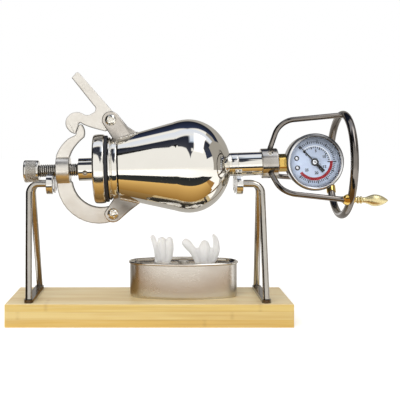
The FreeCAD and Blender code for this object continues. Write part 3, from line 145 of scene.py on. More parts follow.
def turned(profile, centre, axis, start, count=96, closed=False):
    """A patch turned about an axis: each profile point (along, out) in millimetres is carried
    round a full circle that begins in the direction start."""
    profile = np.asarray(profile, float) * MM
    angle = full_turn(count)[:, None]
    circle = np.cos(angle) * start + np.sin(angle) * np.cross(axis, start)
    points = centre + profile[:, None, :1] * axis + profile[:, None, 1:] * circle
    return grid(points, ring=True, loop=closed)


def on_axis(profile, count=96, closed=False):
    """A patch turned about the rotor's axis from points (u, radius)."""
    return turned(profile, AXIS_AT, ALONG, SIDE, count, closed)


def round_axis(u, radius, angle):
    """Points (u, y, w) at a distance and an angle about the rotor's axis; arrays broadcast."""
    u, radius, angle = np.broadcast_arrays(u, radius, angle)
    return np.stack([u, radius * np.cos(angle), radius * np.sin(angle)], -1)


def plate(outline, y_from, y_to):
    """A patch: a closed outline (u, w) carried straight along y, with a flat face at each end."""
    outline = np.asarray(outline, float)
    count = len(outline)
    points = np.concatenate([np.insert(outline, 1, y, axis=1) for y in (y_from, y_to)])
    here = np.arange(count)
    following = np.roll(here, -1)
    sides = np.stack([here, following, following + count, here + count], -1)
    faces = sides.tolist() + [here[::-1].tolist(), (here + count).tolist()]
    order = np.concatenate([np.asarray(face) for face in faces]) % count
    return on_rotor(points), faces, outline[order] * MM


def rimmed(outline, half, rim):
    """A plate from -half to half across y whose flat faces have a rim of their own, drawn in
    along the outline's normals; also these normals (u, w), which point outwards."""
    outline = np.asarray(outline, float)
    after = np.roll(outline, -1, 0)
    step = after - np.roll(outline, 1, 0)
    way = np.sign(np.sum(outline[:, 0] * after[:, 1] - outline[:, 1] * after[:, 0]))
    normal = np.stack([step[:, 1], -step[:, 0]], -1) * way
    normal /= np.linalg.norm(step, axis=1, keepdims=True)
    drawn_in = outline - normal * rim
    rows = [(drawn_in, -half), (outline, -half), (outline, half), (drawn_in, half)]
    whole = np.stack([np.insert(line, 1, y, axis=1) for line, y in rows])
    points, faces, uv = grid(on_rotor(whole), ring=True)
    here = np.arange(len(outline))
    caps = [here[::-1], here + 3 * len(outline)]
    order = np.concatenate(caps) % len(outline)
    return (points, faces + [cap.tolist() for cap in caps],
            np.concatenate([uv, outline[order] * MM])), normal


def painted_edge_shade(painted_dark):
    """Painted shade of a rimmed plate: the outline's own values along its edge, none on its faces."""
    return np.concatenate([0 * painted_dark, painted_dark, painted_dark, 0 * painted_dark])


def swept(path, radius, count=24, squeeze=1.0):
    """A patch: a circle, squeezed across y, carried along a path in metres.  Its radius in
    millimetres may change along the path; each end is closed by a last circle of no size."""
    path = np.asarray(path, float)
    radius = np.broadcast_to(np.asarray(radius, float), (len(path),)) * MM
    path = np.concatenate([path[:1], path, path[-1:]])
    radius = np.concatenate([[0.0], radius, [0.0]])
    heading = np.gradient(path, axis=0)
    heading[:2] = heading[2]
    heading[-2:] = heading[-3]
    heading /= np.linalg.norm(heading, axis=1, keepdims=True)
    sideways = np.cross(heading, SIDE)
    sideways /= np.linalg.norm(sideways, axis=1, keepdims=True)
    depth = np.cross(sideways, heading) * squeeze
    angle = full_turn(count)[None, :, None]
    points = path[:, None] + radius[:, None, None] * (
        np.cos(angle) * depth[:, None] + np.sin(angle) * sideways[:, None])
    return grid(points, ring=True)


def arc(first, via, last, count=12):
    """Points of the circle through three points, from the first by way of the second."""
    a, b, c = np.array([first, via, last], float)
    centre = np.linalg.solve(2 * np.array([b - a, c - a]), [b @ b - a @ a, c @ c - a @ a])
    start, middle, end = [np.arctan2(*(point - centre)[::-1]) for point in (a, b, c)]
    sweep = (end - start) % (2 * pi)
    if (middle - start) % (2 * pi) > sweep:
        sweep -= 2 * pi
    angle = start + sweep * np.linspace(0, 1, count)
    return centre + np.linalg.norm(a - centre) * np.stack([np.cos(angle), np.sin(angle)], -1)


def trace(start, *steps):
    """An outline's points: a step is a point, or a pair (via, end) that draws an arc."""
    drawn = [np.array([start], float)]
    for step in steps:
        if np.ndim(step) == 2:
            drawn.append(arc(drawn[-1][-1], *step)[1:])
        else:
            drawn.append(np.array([step], float))
    return np.concatenate(drawn)


def soften(corners, cut, steps=5, closed=False):
    """Round an outline's corners: each becomes a quadratic curve that starts and ends at the
    distance cut from it, or at 0.45 of a shorter side."""
    corners = np.asarray(corners, float)
    cut = np.array(np.broadcast_to(cut, (len(corners),)), float)
    if not closed:
        cut[[0, -1]] = 0.0
    ends = []
    for shift in (1, -1):
        side = np.roll(corners, shift, 0) - corners
        length = np.linalg.norm(side, axis=1)
        share = np.minimum(cut / np.maximum(length, 1e-9), 0.45)
        ends.append((corners + side * share[:, None])[:, None])
    t = np.linspace(0, 1, steps)[None, :, None]
    curve = (1 - t) ** 2 * ends[0] + 2 * t * (1 - t) * corners[:, None] + t ** 2 * ends[1]
    return curve.reshape(-1, corners.shape[1])


def bent(corners, bend, count=14):
    """Points along straight runs in space, joined at their corners by arcs of one radius: an
    arc's point lies from its centre towards a blend of both ends.  Points are then added, so
    that none are much further apart than a step in millimetres."""
    step = 1.2
    corners = np.asarray(corners, float)
    drawn = [corners[:1]]
    for before, corner, after in zip(corners, corners[1:], corners[2:]):
        arms = np.array([before - corner, after - corner])
        arms /= np.linalg.norm(arms, axis=1, keepdims=True)
        half = np.arccos(arms[0] @ arms[1]) / 2
        middle = arms.sum(0) / np.linalg.norm(arms.sum(0))
        centre = corner + middle * bend / sin(half)
        first, last = corner + arms * bend / np.tan(half) - centre
        share = np.linspace(0, 1, count)[:, None]
        between = first * (1 - share) + last * share
        drawn.append(centre + bend * between / np.linalg.norm(between, axis=1, keepdims=True))
    points = np.concatenate([*drawn, corners[-1:]])
    steps = np.concatenate([[0.0], np.cumsum(np.linalg.norm(np.diff(points, axis=0), axis=1))])
    even = np.linspace(0, steps[-1], int(steps[-1] / step))
    even = np.unique(np.concatenate([even, steps]))
    return np.stack([np.interp(even, steps, points[:, axis]) for axis in range(3)], -1)


def polar(centre, radius, angle):
    """A point at a radius and an angle in degrees, from +u upwards, about a centre (u, w)."""
    return (centre[0] + radius * cos(radians(angle)), centre[1] + radius * sin(radians(angle)))


def around(angle, u, reach):
    """A point of the rotor (u, y, w) at an angle from the front upwards, and a distance out."""
    return (u, -reach * cos(radians(angle)), reach * sin(radians(angle)))


def piece(name, patches, finish, body, replaces=(), sharp=35, edge=0.0, painted_shade=None):
    """Make one object of patches: points that meet are merged, faces are turned outwards,
    edges sharper than an angle stay sharp, and an edge width in millimetres rounds them.
    Painted shade is one value from 0 to 1 for every point, which darkens the finish there as
    painted shade and painted dark reflections."""
    mesh = bpy.data.meshes.new(name)
    starts = np.cumsum([0] + [len(patch[0]) for patch in patches])
    faces = []
    for start, (_, own_faces, _) in zip(starts, patches):
        faces += [[corner + int(start) for corner in face] for face in own_faces]
    mesh.from_pydata(np.concatenate([patch[0] for patch in patches]), [], faces)
    layer = mesh.uv_layers.new(name="UVMap")
    uv = np.concatenate([patch[2] for patch in patches])
    layer.data.foreach_set("uv", uv.astype(np.float32).ravel())
    # painted shade: a darkening per point that stands in for shade and dark reflections
    if painted_shade is not None:
        marks = mesh.attributes.new("painted_shade", "FLOAT", "POINT")
        marks.data.foreach_set("value", np.asarray(painted_shade, np.float32).ravel())
    body_mesh = bmesh.new()
    body_mesh.from_mesh(mesh)
    bmesh.ops.remove_doubles(body_mesh, verts=body_mesh.verts, dist=1e-7)
    bmesh.ops.recalc_face_normals(body_mesh, faces=body_mesh.faces)
    body_mesh.to_mesh(mesh)
    body_mesh.free()
    mesh.polygons.foreach_set("use_smooth", np.ones(len(mesh.polygons), bool))
    mesh.set_sharp_from_angle(angle=radians(sharp))
    mesh.materials.append(FINISH[finish])
    made = bpy.data.objects.new(name, mesh)
    bpy.context.scene.collection.objects.link(made)
    if edge:
        bevel = made.modifiers.new("edge", "BEVEL")
        bevel.width = edge * MM
        bevel.segments = 3
        bevel.limit_method = "ANGLE"
        bevel.angle_limit = radians(40)
        bevel.harden_normals = True
    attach(made, body)
    if replaces:
        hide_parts(*replaces)


# ---- shader helpers ----
def feed(tree, value, socket):
    """Link a socket, or set a constant."""
    if isinstance(value, bpy.types.NodeSocket):
        tree.links.new(value, socket)
    else:
        socket.default_value = value


def add_node(tree, kind, settings=(), **inputs):
    """A shader node with its own settings; inputs are constants or sockets to link."""
    made = tree.nodes.new(kind)
    for key, value in dict(settings).items():
        setattr(made, key, value)
    for key, value in inputs.items():
        feed(tree, value, made.inputs[key.replace("_", " ")])
    return made


def maths(tree, operation, *values):
    """The result of one operation of a Math node."""
    made = add_node(tree, "ShaderNodeMath", {"operation": operation})
    for socket, value in zip(made.inputs, values):
        feed(tree, value, socket)
    return made.outputs[0]


def remap(tree, value, low, high, to_low=0.0, to_high=1.0):
    """Carry a value from one range to another, and hold it inside."""
    made = add_node(tree, "ShaderNodeMapRange", {"clamp": True}, Value=value, From_Min=low,
                    From_Max=high, To_Min=to_low, To_Max=to_high)
    return made.outputs[0]


def mixed(tree, share, first, second):
    """A colour between two others."""
    made = add_node(tree, "ShaderNodeMix", {"data_type": "RGBA"})
    feed(tree, share, made.inputs[0])
    feed(tree, first, made.inputs[6])
    feed(tree, second, made.inputs[7])
    return made.outputs[2]


def noise(tree, vector, scale, detail=2.0, roughness=0.5):
    """A cloud of values round 0.5; its scale is in waves to a unit of the coordinates."""
    made = add_node(tree, "ShaderNodeTexNoise", Vector=vector, Scale=scale, Detail=detail,
                    Roughness=roughness)
    return made.outputs[0]


def stretched(tree, vector, scale, turn=(0, 0, 0)):
    """The coordinates scaled along each axis, after a turn in radians."""
    made = add_node(tree, "ShaderNodeMapping", Vector=vector, Scale=scale, Rotation=turn)
    return made.outputs[0]


def place_of(tree, source="Object"):
    """The object's own coordinates, or its UV map."""
    return tree.nodes.new("ShaderNodeTexCoord").outputs[source]


def rgba(colour):
    """A colour with the fourth value that a socket wants."""
    return (*colour, 1.0)


def new_group(name, inputs, outputs):
    """An empty shader group; inputs are name: default, and outputs are names of values."""
    made = bpy.data.node_groups.new(name, "ShaderNodeTree")
    for label, value in inputs.items():
        kind = "NodeSocketVector" if label == "Vector" else "NodeSocketFloat"
        socket = made.interface.new_socket(label, in_out="INPUT", socket_type=kind)
        if label != "Vector":
            socket.default_value = value
    for label in outputs:
        made.interface.new_socket(label, in_out="OUTPUT", socket_type="NodeSocketFloat")
    return made, made.nodes.new("NodeGroupInput").outputs, made.nodes.new("NodeGroupOutput").inputs


def handled_polish():
    """Cloudy smudges and fine grain of a surface that hands have touched.

    Smudge is a slow noise, cut to its upper part.  Roughness is Base and a share of Spread, and
    the share is Smudge plus the fine noise less its middle.  Height is the fine noise."""
    made, given, put = new_group(
        "handled_polish", {"Vector": 0, "Base": 0.08, "Spread": 0.1, "Size": 30.0, "Grain": 900.0},
        ("Smudge", "Roughness", "Height"))
    cloud = noise(made, given["Vector"], given["Size"], 4.0, 0.6)
    smudge = remap(made, cloud, 0.42, 0.72)
    fine = noise(made, given["Vector"], given["Grain"], 3.0, 0.7)
    uneven = maths(made, "MULTIPLY", maths(made, "SUBTRACT", fine, 0.5), 0.4)
    share = maths(made, "ADD", smudge, uneven)
    made.links.new(smudge, put["Smudge"])
    rough = maths(made, "MULTIPLY_ADD", share, given["Spread"], given["Base"])
    made.links.new(rough, put["Roughness"])
    made.links.new(fine, put["Height"])
    return made


def drawn_lines():
    """Straight lines of brushing or turning: a noise stretched along one axis by Stretch, which
    gives Lines from 0 to 1, and a slower one that gives Bands."""
    made, given, put = new_group(
        "drawn_lines", {"Vector": 0, "Fine": 1200.0, "Stretch": 0.02}, ("Lines", "Bands"))
    x, y, z = add_node(made, "ShaderNodeSeparateXYZ", Vector=given["Vector"]).outputs[:3]
    drawn = add_node(made, "ShaderNodeCombineXYZ", Y=y, Z=z,
                     X=maths(made, "MULTIPLY", x, given["Stretch"])).outputs[0]
    lines = noise(made, drawn, given["Fine"], 2.0, 0.6)
    bands = noise(made, drawn, maths(made, "MULTIPLY", given["Fine"], 0.07), 3.0, 0.5)
    made.links.new(remap(made, lines, 0.3, 0.7), put["Lines"])
    made.links.new(remap(made, bands, 0.3, 0.7), put["Bands"])
    return made


POLISH = handled_polish()
LINES = drawn_lines()


def new_material(name):
    """A material, its node tree and its main shader."""
    made = bpy.data.materials.new(name)
    made.use_nodes = True
    return made, made.node_tree, made.node_tree.nodes["Principled BSDF"]


def use_group(tree, made, vector, **inputs):
    """Place a shader group in a material with its own values; gives the group's outputs."""
    node = tree.nodes.new("ShaderNodeGroup")
    node.node_tree = made
    feed(tree, vector, node.inputs["Vector"])
    for key, value in inputs.items():
        feed(tree, value, node.inputs[key])
    return node.outputs


def bump(tree, height, strength, distance, shader):
    """Tilt a shader's normal by a height, where 1 stands for distance in metres."""
    made = add_node(tree, "ShaderNodeBump", Height=height, Strength=strength, Distance=distance)
    tree.links.new(made.outputs[0], shader.inputs["Normal"])


def painted_shade_of(tree):
    """The painted shade from 0 to 1 that a piece holds at its points; 0 on a piece that has none."""
    return add_node(tree, "ShaderNodeAttribute", {"attribute_name": "painted_shade"}).outputs["Fac"]


def metal(name, colour, touched, rough, spread, size, grain, lift, lines=None, lined=0.0):
    """Metal with a handled polish: the colour goes to a touched one under the smudges, lines
    (fine, stretch) add brushing marks to roughness and height, and where the painted shade is 1
    the metal keeps about an eighth of its brightness and is duller, a shade painted into it."""
    made, tree, shader = new_material(name)
    vector = place_of(tree)
    polish = use_group(tree, POLISH, vector, Base=rough, Spread=spread, Size=size, Grain=grain)
    share, roughness, height = polish["Smudge"], polish["Roughness"], polish["Height"]
    shade = mixed(tree, maths(tree, "MULTIPLY", share, 0.6), rgba(colour), rgba(touched))
    painted_dark = painted_shade_of(tree)
    if lines:
        marks = use_group(tree, LINES, vector, Fine=lines[0], Stretch=lines[1])
        roughness = maths(tree, "MULTIPLY_ADD", marks["Lines"], lined, roughness)
        height = maths(tree, "ADD", height, maths(tree, "MULTIPLY", marks["Lines"], 2.0))
        shade = mixed(tree, maths(tree, "MULTIPLY", marks["Bands"], 0.35), shade, rgba(touched))
    # painted shade: the colour goes towards an eighth of itself where the mask is 1
    shade = mixed(tree, painted_dark, shade, rgba([0.12 * part for part in colour]))
    roughness = maths(tree, "MULTIPLY_ADD", painted_dark, 0.25, roughness)
    tree.links.new(shade, shader.inputs["Base Color"])
    tree.links.new(roughness, shader.inputs["Roughness"])
    shader.inputs["Metallic"].default_value = 1.0
    bump(tree, height, lift, 0.0002, shader)
    return made


def bamboo():
    """Three laminations on their long side and strips on top, with fibres along X and the
    darker knuckles of the cane, staggered from strip to strip.

    A board is a lamination by height and a strip by depth; a value of its own shifts its fibres.
    A knuckle is a thin line wherever x, shifted by that value, passes the middle of its step."""
    made, tree, shader = new_material("bamboo")
    lamination, strip_width, half_depth = 0.0071, 0.0202, 0.04
    x, y, z = add_node(tree, "ShaderNodeSeparateXYZ", Vector=place_of(tree)).outputs[:3]
    level = maths(tree, "DIVIDE", z, lamination)
    strip = maths(tree, "FLOOR", maths(tree, "DIVIDE", maths(tree, "ADD", y, half_depth),
                                       strip_width))
    board = maths(tree, "MULTIPLY_ADD", maths(tree, "FLOOR", level), 7.3,
                  maths(tree, "MULTIPLY", strip, 3.1))
    own = add_node(tree, "ShaderNodeTexWhiteNoise", {"noise_dimensions": "1D"}, W=board).outputs[0]
    moved = add_node(tree, "ShaderNodeCombineXYZ", X=maths(tree, "MULTIPLY_ADD", own, 0.3, x),
                     Y=maths(tree, "MULTIPLY_ADD", own, 0.7, y), Z=z).outputs[0]
    fibre = noise(tree, stretched(tree, moved, (14, 900, 900)), 1.0, 3.0, 0.65)
    streak = noise(tree, stretched(tree, moved, (9, 210, 260)), 1.0, 2.0, 0.5)
    cloud = noise(tree, stretched(tree, moved, (16, 60, 60)), 1.0, 2.0, 0.5)
    lowest = maths(tree, "LESS_THAN", z, lamination)
    middle = maths(tree, "MULTIPLY", maths(tree, "GREATER_THAN", z, lamination),
                   maths(tree, "LESS_THAN", z, 2 * lamination))
    step = maths(tree, "FRACT", maths(tree, "MULTIPLY_ADD", x, 5.2,
                                      maths(tree, "MULTIPLY", own, 9.0)))
    away = maths(tree, "ABSOLUTE", maths(tree, "SUBTRACT", step, 0.5))
    knuckle = maths(tree, "MULTIPLY", maths(tree, "SUBTRACT", 1.0, remap(tree, away, 0.0, 0.014)),
                    remap(tree, streak, 0.35, 0.6, 0.08, 0.32))
    joint = maths(tree, "ABSOLUTE", maths(tree, "SUBTRACT", maths(tree, "FRACT", level), 0.5))
    colour = rgba((0.83, 0.61, 0.20))
    for share, other in (
            (lowest, (0.79, 0.53, 0.145)),
            (maths(tree, "MULTIPLY", middle, 0.62), (0.84, 0.66, 0.30)),
            # the top face paler: a painted brightness of the lit top
            (remap(tree, z, 0.0203, 0.0209), (0.86, 0.72, 0.44)),
            (remap(tree, streak, 0.42, 0.66, 0.0, 0.5), (0.62, 0.37, 0.085)),
            (remap(tree, fibre, 0.45, 0.75, 0.0, 0.45), (0.86, 0.70, 0.37)),
            (remap(tree, cloud, 0.5, 0.8, 0.0, 0.35), (0.70, 0.44, 0.12)),
            (knuckle, (0.46, 0.26, 0.07)),
            (remap(tree, joint, 0.478, 0.497, 0.0, 0.4), (0.45, 0.26, 0.06))):
        colour = mixed(tree, share, colour, rgba(other))
    tree.links.new(colour, shader.inputs["Base Color"])
    tree.links.new(remap(tree, fibre, 0.3, 0.7, 0.38, 0.52), shader.inputs["Roughness"])
    bump(tree, maths(tree, "SUBTRACT", fibre, knuckle), 0.12, 0.0004, shader)
    shader.inputs["Coat Weight"].default_value = 0.12
    shader.inputs["Coat Roughness"].default_value = 0.3
    return made


def matt(name, colour, other, rough, size, lift):
    """A paint, rubber or print: two near colours mixed by a slow noise, with a fine grain, and
    a third of its brightness where the painted shade is 1, a shade painted into it."""
    made, tree, shader = new_material(name)
    vector = place_of(tree)
    polish = use_group(tree, POLISH, vector, Base=rough, Spread=0.12, Size=size, Grain=size * 25)
    shade = mixed(tree, polish["Smudge"], rgba(colour), rgba(other))
    painted_dark = painted_shade_of(tree)
    # painted shade: the colour goes towards a third of itself where the mask is 1
    shade = mixed(tree, painted_dark, shade, rgba([0.33 * part for part in colour]))
    tree.links.new(shade, shader.inputs["Base Color"])
    tree.links.new(polish["Roughness"], shader.inputs["Roughness"])
    bump(tree, polish["Height"], lift, 0.0002, shader)
    return made


def cotton():
    """Soft bleached cotton: streaks of fibre along each strand (its UV's second direction),
    greyer in the folds as a painted shade."""
    made, tree, shader = new_material("cotton")
    along = place_of(tree, "UV")
    fibre = noise(tree, stretched(tree, along, (2600, 160, 1)), 1.0, 3.0, 0.6)
    folds = noise(tree, stretched(tree, along, (700, 60, 1)), 1.0, 2.0, 0.5)
    grey, bleached, fold_shade = [rgba(colour) for colour in (
        (0.86, 0.85, 0.82), (0.96, 0.955, 0.945), (0.78, 0.765, 0.72))]
    colour = mixed(tree, remap(tree, fibre, 0.3, 0.7), grey, bleached)
    # painted shade: greyer where the fold noise is high
    colour = mixed(tree, remap(tree, folds, 0.5, 0.75, 0.0, 0.4), colour, fold_shade)
    tree.links.new(colour, shader.inputs["Base Color"])
    shader.inputs["Roughness"].default_value = 0.9
    shader.inputs["Sheen Weight"].default_value = 0.4
    shader.inputs["Subsurface Weight"].default_value = 0.25
    shader.inputs["Subsurface Radius"].default_value = (0.004, 0.004, 0.0035)
    shader.inputs["Subsurface Scale"].default_value = 1.0
    bump(tree, maths(tree, "ADD", fibre, folds), 0.5, 0.0006, shader)
    return made


def clear_glass():
    """The gauge's window, with faint wiping marks in its roughness."""
    made, tree, shader = new_material("lens_glass")
    wiped = noise(tree, stretched(tree, place_of(tree), (60, 60, 400), (0, 0.6, 0)), 1.0, 3.0, 0.6)
    tree.links.new(remap(tree, wiped, 0.45, 0.8, 0.0, 0.03), shader.inputs["Roughness"])
    shader.inputs["Base Color"].default_value = (0.97, 0.985, 1.0, 1)
    shader.inputs["Transmission Weight"].default_value = 1.0
    shader.inputs["IOR"].default_value = 1.12
    return made


METALS = {   # colour, touched colour, roughness and its spread, smudge and grain scales, lift,
             # and for brushed metal its lines (fine, stretch) and their share of the roughness
    "mirror_steel": ((0.86, 0.83, 0.76), (0.80, 0.77, 0.70), 0.03, 0.05, 24, 700, 0.02),
    "lid_steel": ((0.86, 0.83, 0.76), (0.76, 0.73, 0.66), 0.10, 0.08, 30, 900, 0.04),
    "stand_steel": ((0.55, 0.52, 0.465), (0.44, 0.40, 0.35), 0.09, 0.10, 60, 900, 0.04,
                    (1500, 1.0), 0.04),
    "bearing_steel": ((0.80, 0.78, 0.74), (0.66, 0.63, 0.58), 0.06, 0.08, 80, 1500, 0.02),
    # dark base colour: a painted dark reflection in the rods' colour
    "wheel_steel": ((0.23, 0.207, 0.185), (0.165, 0.145, 0.127), 0.09, 0.08, 40, 900, 0.015),
    "hub_steel": ((0.50, 0.47, 0.43), (0.36, 0.33, 0.29), 0.11, 0.10, 50, 900, 0.03),
    "strip_steel": ((0.20, 0.175, 0.15), (0.12, 0.10, 0.085), 0.14, 0.10, 60, 900, 0.03),
    "cast_steel": ((0.85, 0.81, 0.74), (0.76, 0.715, 0.64), 0.27, 0.12, 45, 520, 0.03,
                   (900, 0.05), 0.06),
    # darker than cast_steel: a painted shade for the ears' dark reflections
    "ear_steel": ((0.70, 0.655, 0.59), (0.50, 0.445, 0.385), 0.16, 0.12, 60, 700, 0.05,
                  (1100, 0.05), 0.06),
    "screw_steel": ((0.72, 0.69, 0.63), (0.58, 0.54, 0.48), 0.18, 0.14, 90, 900, 0.05),
    "brass": ((0.80, 0.56, 0.16), (0.62, 0.39, 0.09), 0.15, 0.12, 60, 900, 0.05),
    "pale_brass": ((0.86, 0.75, 0.42), (0.76, 0.62, 0.30), 0.38, 0.08, 60, 900, 0.02),
    "gauge_chrome": ((0.80, 0.80, 0.81), (0.68, 0.68, 0.69), 0.05, 0.05, 40, 900, 0.01),
    "tin_plate": ((0.66, 0.63, 0.575), (0.58, 0.55, 0.50), 0.26, 0.06, 30, 700, 0.015,
                  (1500, 0.03), 0.05),
    "bright_tin": ((0.82, 0.79, 0.73), (0.72, 0.68, 0.61), 0.06, 0.06, 30, 700, 0.02),
    # whiter than the other tin: a painted brightness of the lit collars
    "collar_tin": ((0.93, 0.92, 0.90), (0.84, 0.82, 0.78), 0.36, 0.06, 60, 900, 0.02),
}
MATTS = {   # colour, second colour, roughness, cloud scale, lift
    "dial_white": ((0.66, 0.74, 0.90), (0.62, 0.70, 0.87), 0.42, 60, 0.02),
    "pointer_black": ((0.012, 0.012, 0.014), (0.03, 0.03, 0.032), 0.35, 120, 0.03),
    "gasket_rubber": ((0.012, 0.014, 0.02), (0.03, 0.032, 0.036), 0.5, 90, 0.1),
    "red_print": ((0.42, 0.008, 0.016), (0.36, 0.010, 0.018), 0.45, 90, 0.03),
    "black_print": ((0.02, 0.022, 0.03), (0.04, 0.042, 0.05), 0.5, 90, 0.03),
    "white_print": ((0.90, 0.92, 0.95), (0.85, 0.88, 0.92), 0.5, 90, 0.03),
}
FINISH = {name: metal(name, *values) for name, values in METALS.items()}
FINISH.update({name: matt(name, *values) for name, values in MATTS.items()})
FINISH.update(bamboo=bamboo(), cotton=cotton(), lens_glass=clear_glass())
FINISH["polished_steel"] = FINISH["mirror_steel"]


# ---- studio ----
def set_camera():
    """A level camera in front, a little above the bottle."""
    data = bpy.data.cameras.new("camera")
    data.lens = 67.8
    data.sensor_width = 36.0
    data.shift_x, data.shift_y = 0.115, -0.148
    camera = bpy.data.objects.new("camera", data)
    camera.location = (4.2 * MM, -715 * MM, 167.5 * MM)
    camera.rotation_euler = (radians(90), 0, 0)
    bpy.context.scene.collection.objects.link(camera)
    bpy.context.scene.camera = camera


def soft_box(name, place, aim, size, watts):
    """A rectangular lamp at a place, turned to a point."""
    data = bpy.data.lights.new(name, "AREA")
    data.shape = "RECTANGLE"
    data.size, data.size_y = size
    data.energy = watts
    lamp = bpy.data.objects.new(name, data)
    lamp.location = place
    lamp.rotation_euler = (Vector(aim) - Vector(place)).to_track_quat("-Z", "Y").to_euler()
    lamp.visible_glossy = False
    bpy.context.scene.collection.objects.link(lamp)


def seen_directly(tree):
    """1 where the camera, a mirror or glass looks, and 0 for the light on matt surfaces."""
    path = tree.nodes.new("ShaderNodeLightPath")
    seen = maths(tree, "MAXIMUM", path.outputs["Is Camera Ray"], path.outputs["Is Glossy Ray"])
    return maths(tree, "MAXIMUM", seen, path.outputs["Is Transmission Ray"])


def set_world():
    """Even pale surroundings, white where the camera, metal or glass looks at them."""
    world = bpy.data.worlds.new("studio")
    bpy.context.scene.world = world
    world.use_nodes = True
    tree = world.node_tree
    tree.nodes.clear()
    out = tree.nodes.new("ShaderNodeOutputWorld")
    mix = tree.nodes.new("ShaderNodeMixShader")
    white = add_node(tree, "ShaderNodeBackground", Color=(1, 1, 1, 1), Strength=1.0)
    fill = add_node(tree, "ShaderNodeBackground", Color=(1, 0.985, 0.96, 1), Strength=0.72)
    tree.links.new(seen_directly(tree), mix.inputs[0])
    tree.links.new(fill.outputs[0], mix.inputs[1])
    tree.links.new(white.outputs[0], mix.inputs[2])
    tree.links.new(mix.outputs[0], out.inputs[0])


def sheet(name, points, faces, uv, shader_of, only_mirrors=False):
    """A sheet of the studio through points in metres; only_mirrors hides it from all but the
    reflections in shiny pieces."""
    mesh = bpy.data.meshes.new(name)
    mesh.from_pydata([tuple(point) for point in points], [], faces)
    if uv is not None:
        mesh.uv_layers.new(name="UVMap").data.foreach_set("uv", uv.astype(np.float32).ravel())
    made = bpy.data.objects.new(name, mesh)
    bpy.context.scene.collection.objects.link(made)
    material = bpy.data.materials.new(name)
    material.use_nodes = True
    tree = material.node_tree
    tree.nodes.clear()
    out = tree.nodes.new("ShaderNodeOutputMaterial")
    tree.links.new(shader_of(tree), out.inputs[0])
    mesh.materials.append(material)
    if only_mirrors:
        made.visible_camera = False
        made.visible_diffuse = False
        made.visible_transmission = False
        made.visible_volume_scatter = False
        made.visible_shadow = False


def floor_shader(tree):
    """Matt white, with a glow where it is seen directly."""
    matt_white = add_node(tree, "ShaderNodeBsdfDiffuse", Color=(0.82, 0.82, 0.82, 1))
    glow = add_node(tree, "ShaderNodeEmission",
                    Strength=maths(tree, "MULTIPLY", seen_directly(tree), 0.46))
    both = tree.nodes.new("ShaderNodeAddShader")
    tree.links.new(matt_white.outputs[0], both.inputs[0])
    tree.links.new(glow.outputs[0], both.inputs[1])
    return both.outputs[0]


def flat_light(colour):
    """A shader of one plain glow."""
    return lambda tree: add_node(tree, "ShaderNodeEmission", Color=rgba(colour),
                                 Strength=1.0).outputs[0]


def uv_of(tree):
    """The two directions of a sheet's UV map."""
    return add_node(tree, "ShaderNodeSeparateXYZ", Vector=place_of(tree, "UV")).outputs


def graded(tree, share, first, last):
    """A glow whose colour goes from one to another with share."""
    return add_node(tree, "ShaderNodeEmission", Strength=1.0,
                    Color=mixed(tree, share, rgba(first), rgba(last)))


def see_through(tree, share, lit):
    """A glow that lets through what lies behind it where share is below 1."""
    clear = tree.nodes.new("ShaderNodeBsdfTransparent")
    blend = tree.nodes.new("ShaderNodeMixShader")
    tree.links.new(share, blend.inputs[0])
    tree.links.new(clear.outputs[0], blend.inputs[1])
    tree.links.new(lit.outputs[0], blend.inputs[2])
    return blend.outputs[0]


def card(name, across, low, high, bottom, top, soft=0.0, reach=1.1, ends=False):
    """A sheet that only reflections see, on a cylinder round the bottle.

    At every X of across (metres) it spans from low to high, in degrees of elevation that count
    from the front up and over to the back; the colour goes from bottom to top, and soft is the
    share of its width in which its long edges fade, and with ends its short ones too."""
    across = np.asarray(across, float)
    share = np.linspace(0, 1, 13)[:, None]
    low, high = [np.broadcast_to(np.asarray(edge, float), across.shape) for edge in (low, high)]
    angle = np.radians(low + share * (high - low))
    points = np.stack([across + 0 * angle, -reach * np.cos(angle),
                       np.maximum(AXIS_AT[2] + reach * np.sin(angle), MM)], -1)
    flat, faces, _ = grid(points)
    rows, columns = angle.shape
    uv = np.stack([np.tile(np.linspace(0, 1, columns), rows), np.repeat(share, columns)], -1)

    def shader(tree):
        """The graded glow, let through towards its soft edges."""
        side, height = uv_of(tree)[:2]
        lit = graded(tree, height, bottom, top)
        if not soft:
            return lit.outputs[0]
        edges = [maths(tree, "MINIMUM", way, maths(tree, "SUBTRACT", 1.0, way))
                 for way in ((height, side) if ends else (height,))]
        nearest = maths(tree, "MINIMUM", edges[0], edges[-1])
        return see_through(tree, remap(tree, nearest, 0.0, soft), lit)

    sheet(name, flat, faces, uv[np.array(faces).ravel()], shader, True)


def upright(name, x, depths, heights, colour):
    """A plain sheet across X that only reflections see."""
    (front, back), (foot, head) = depths, heights
    corners = [(x, front, foot), (x, back, foot), (x, back, head), (x, front, head)]
    sheet(name, corners, [(0, 1, 2, 3)], None, flat_light(colour), True)


def ground(name, x_from, x_to, y_from, y_to, front, back, height=0.5):
    """A sheet that only reflections see, and only from above; its colour goes from the front
    edge to the back edge, and height is in millimetres."""
    z = height * MM
    points = [(x_from, y_from, z), (x_to[0], y_from, z), (x_to[1], y_to, z), (x_from, y_to, z)]
    uv = np.array([(0, 0), (1, 0), (1, 1), (0, 1)], float)

    def shader(tree):
        """The graded glow, let through from below."""
        below = tree.nodes.new("ShaderNodeNewGeometry").outputs["Backfacing"]
        return see_through(tree, maths(tree, "SUBTRACT", 1.0, below),
                           graded(tree, uv_of(tree)[1], front, back))

    sheet(name, points, [(0, 1, 2, 3)], uv, shader, True)


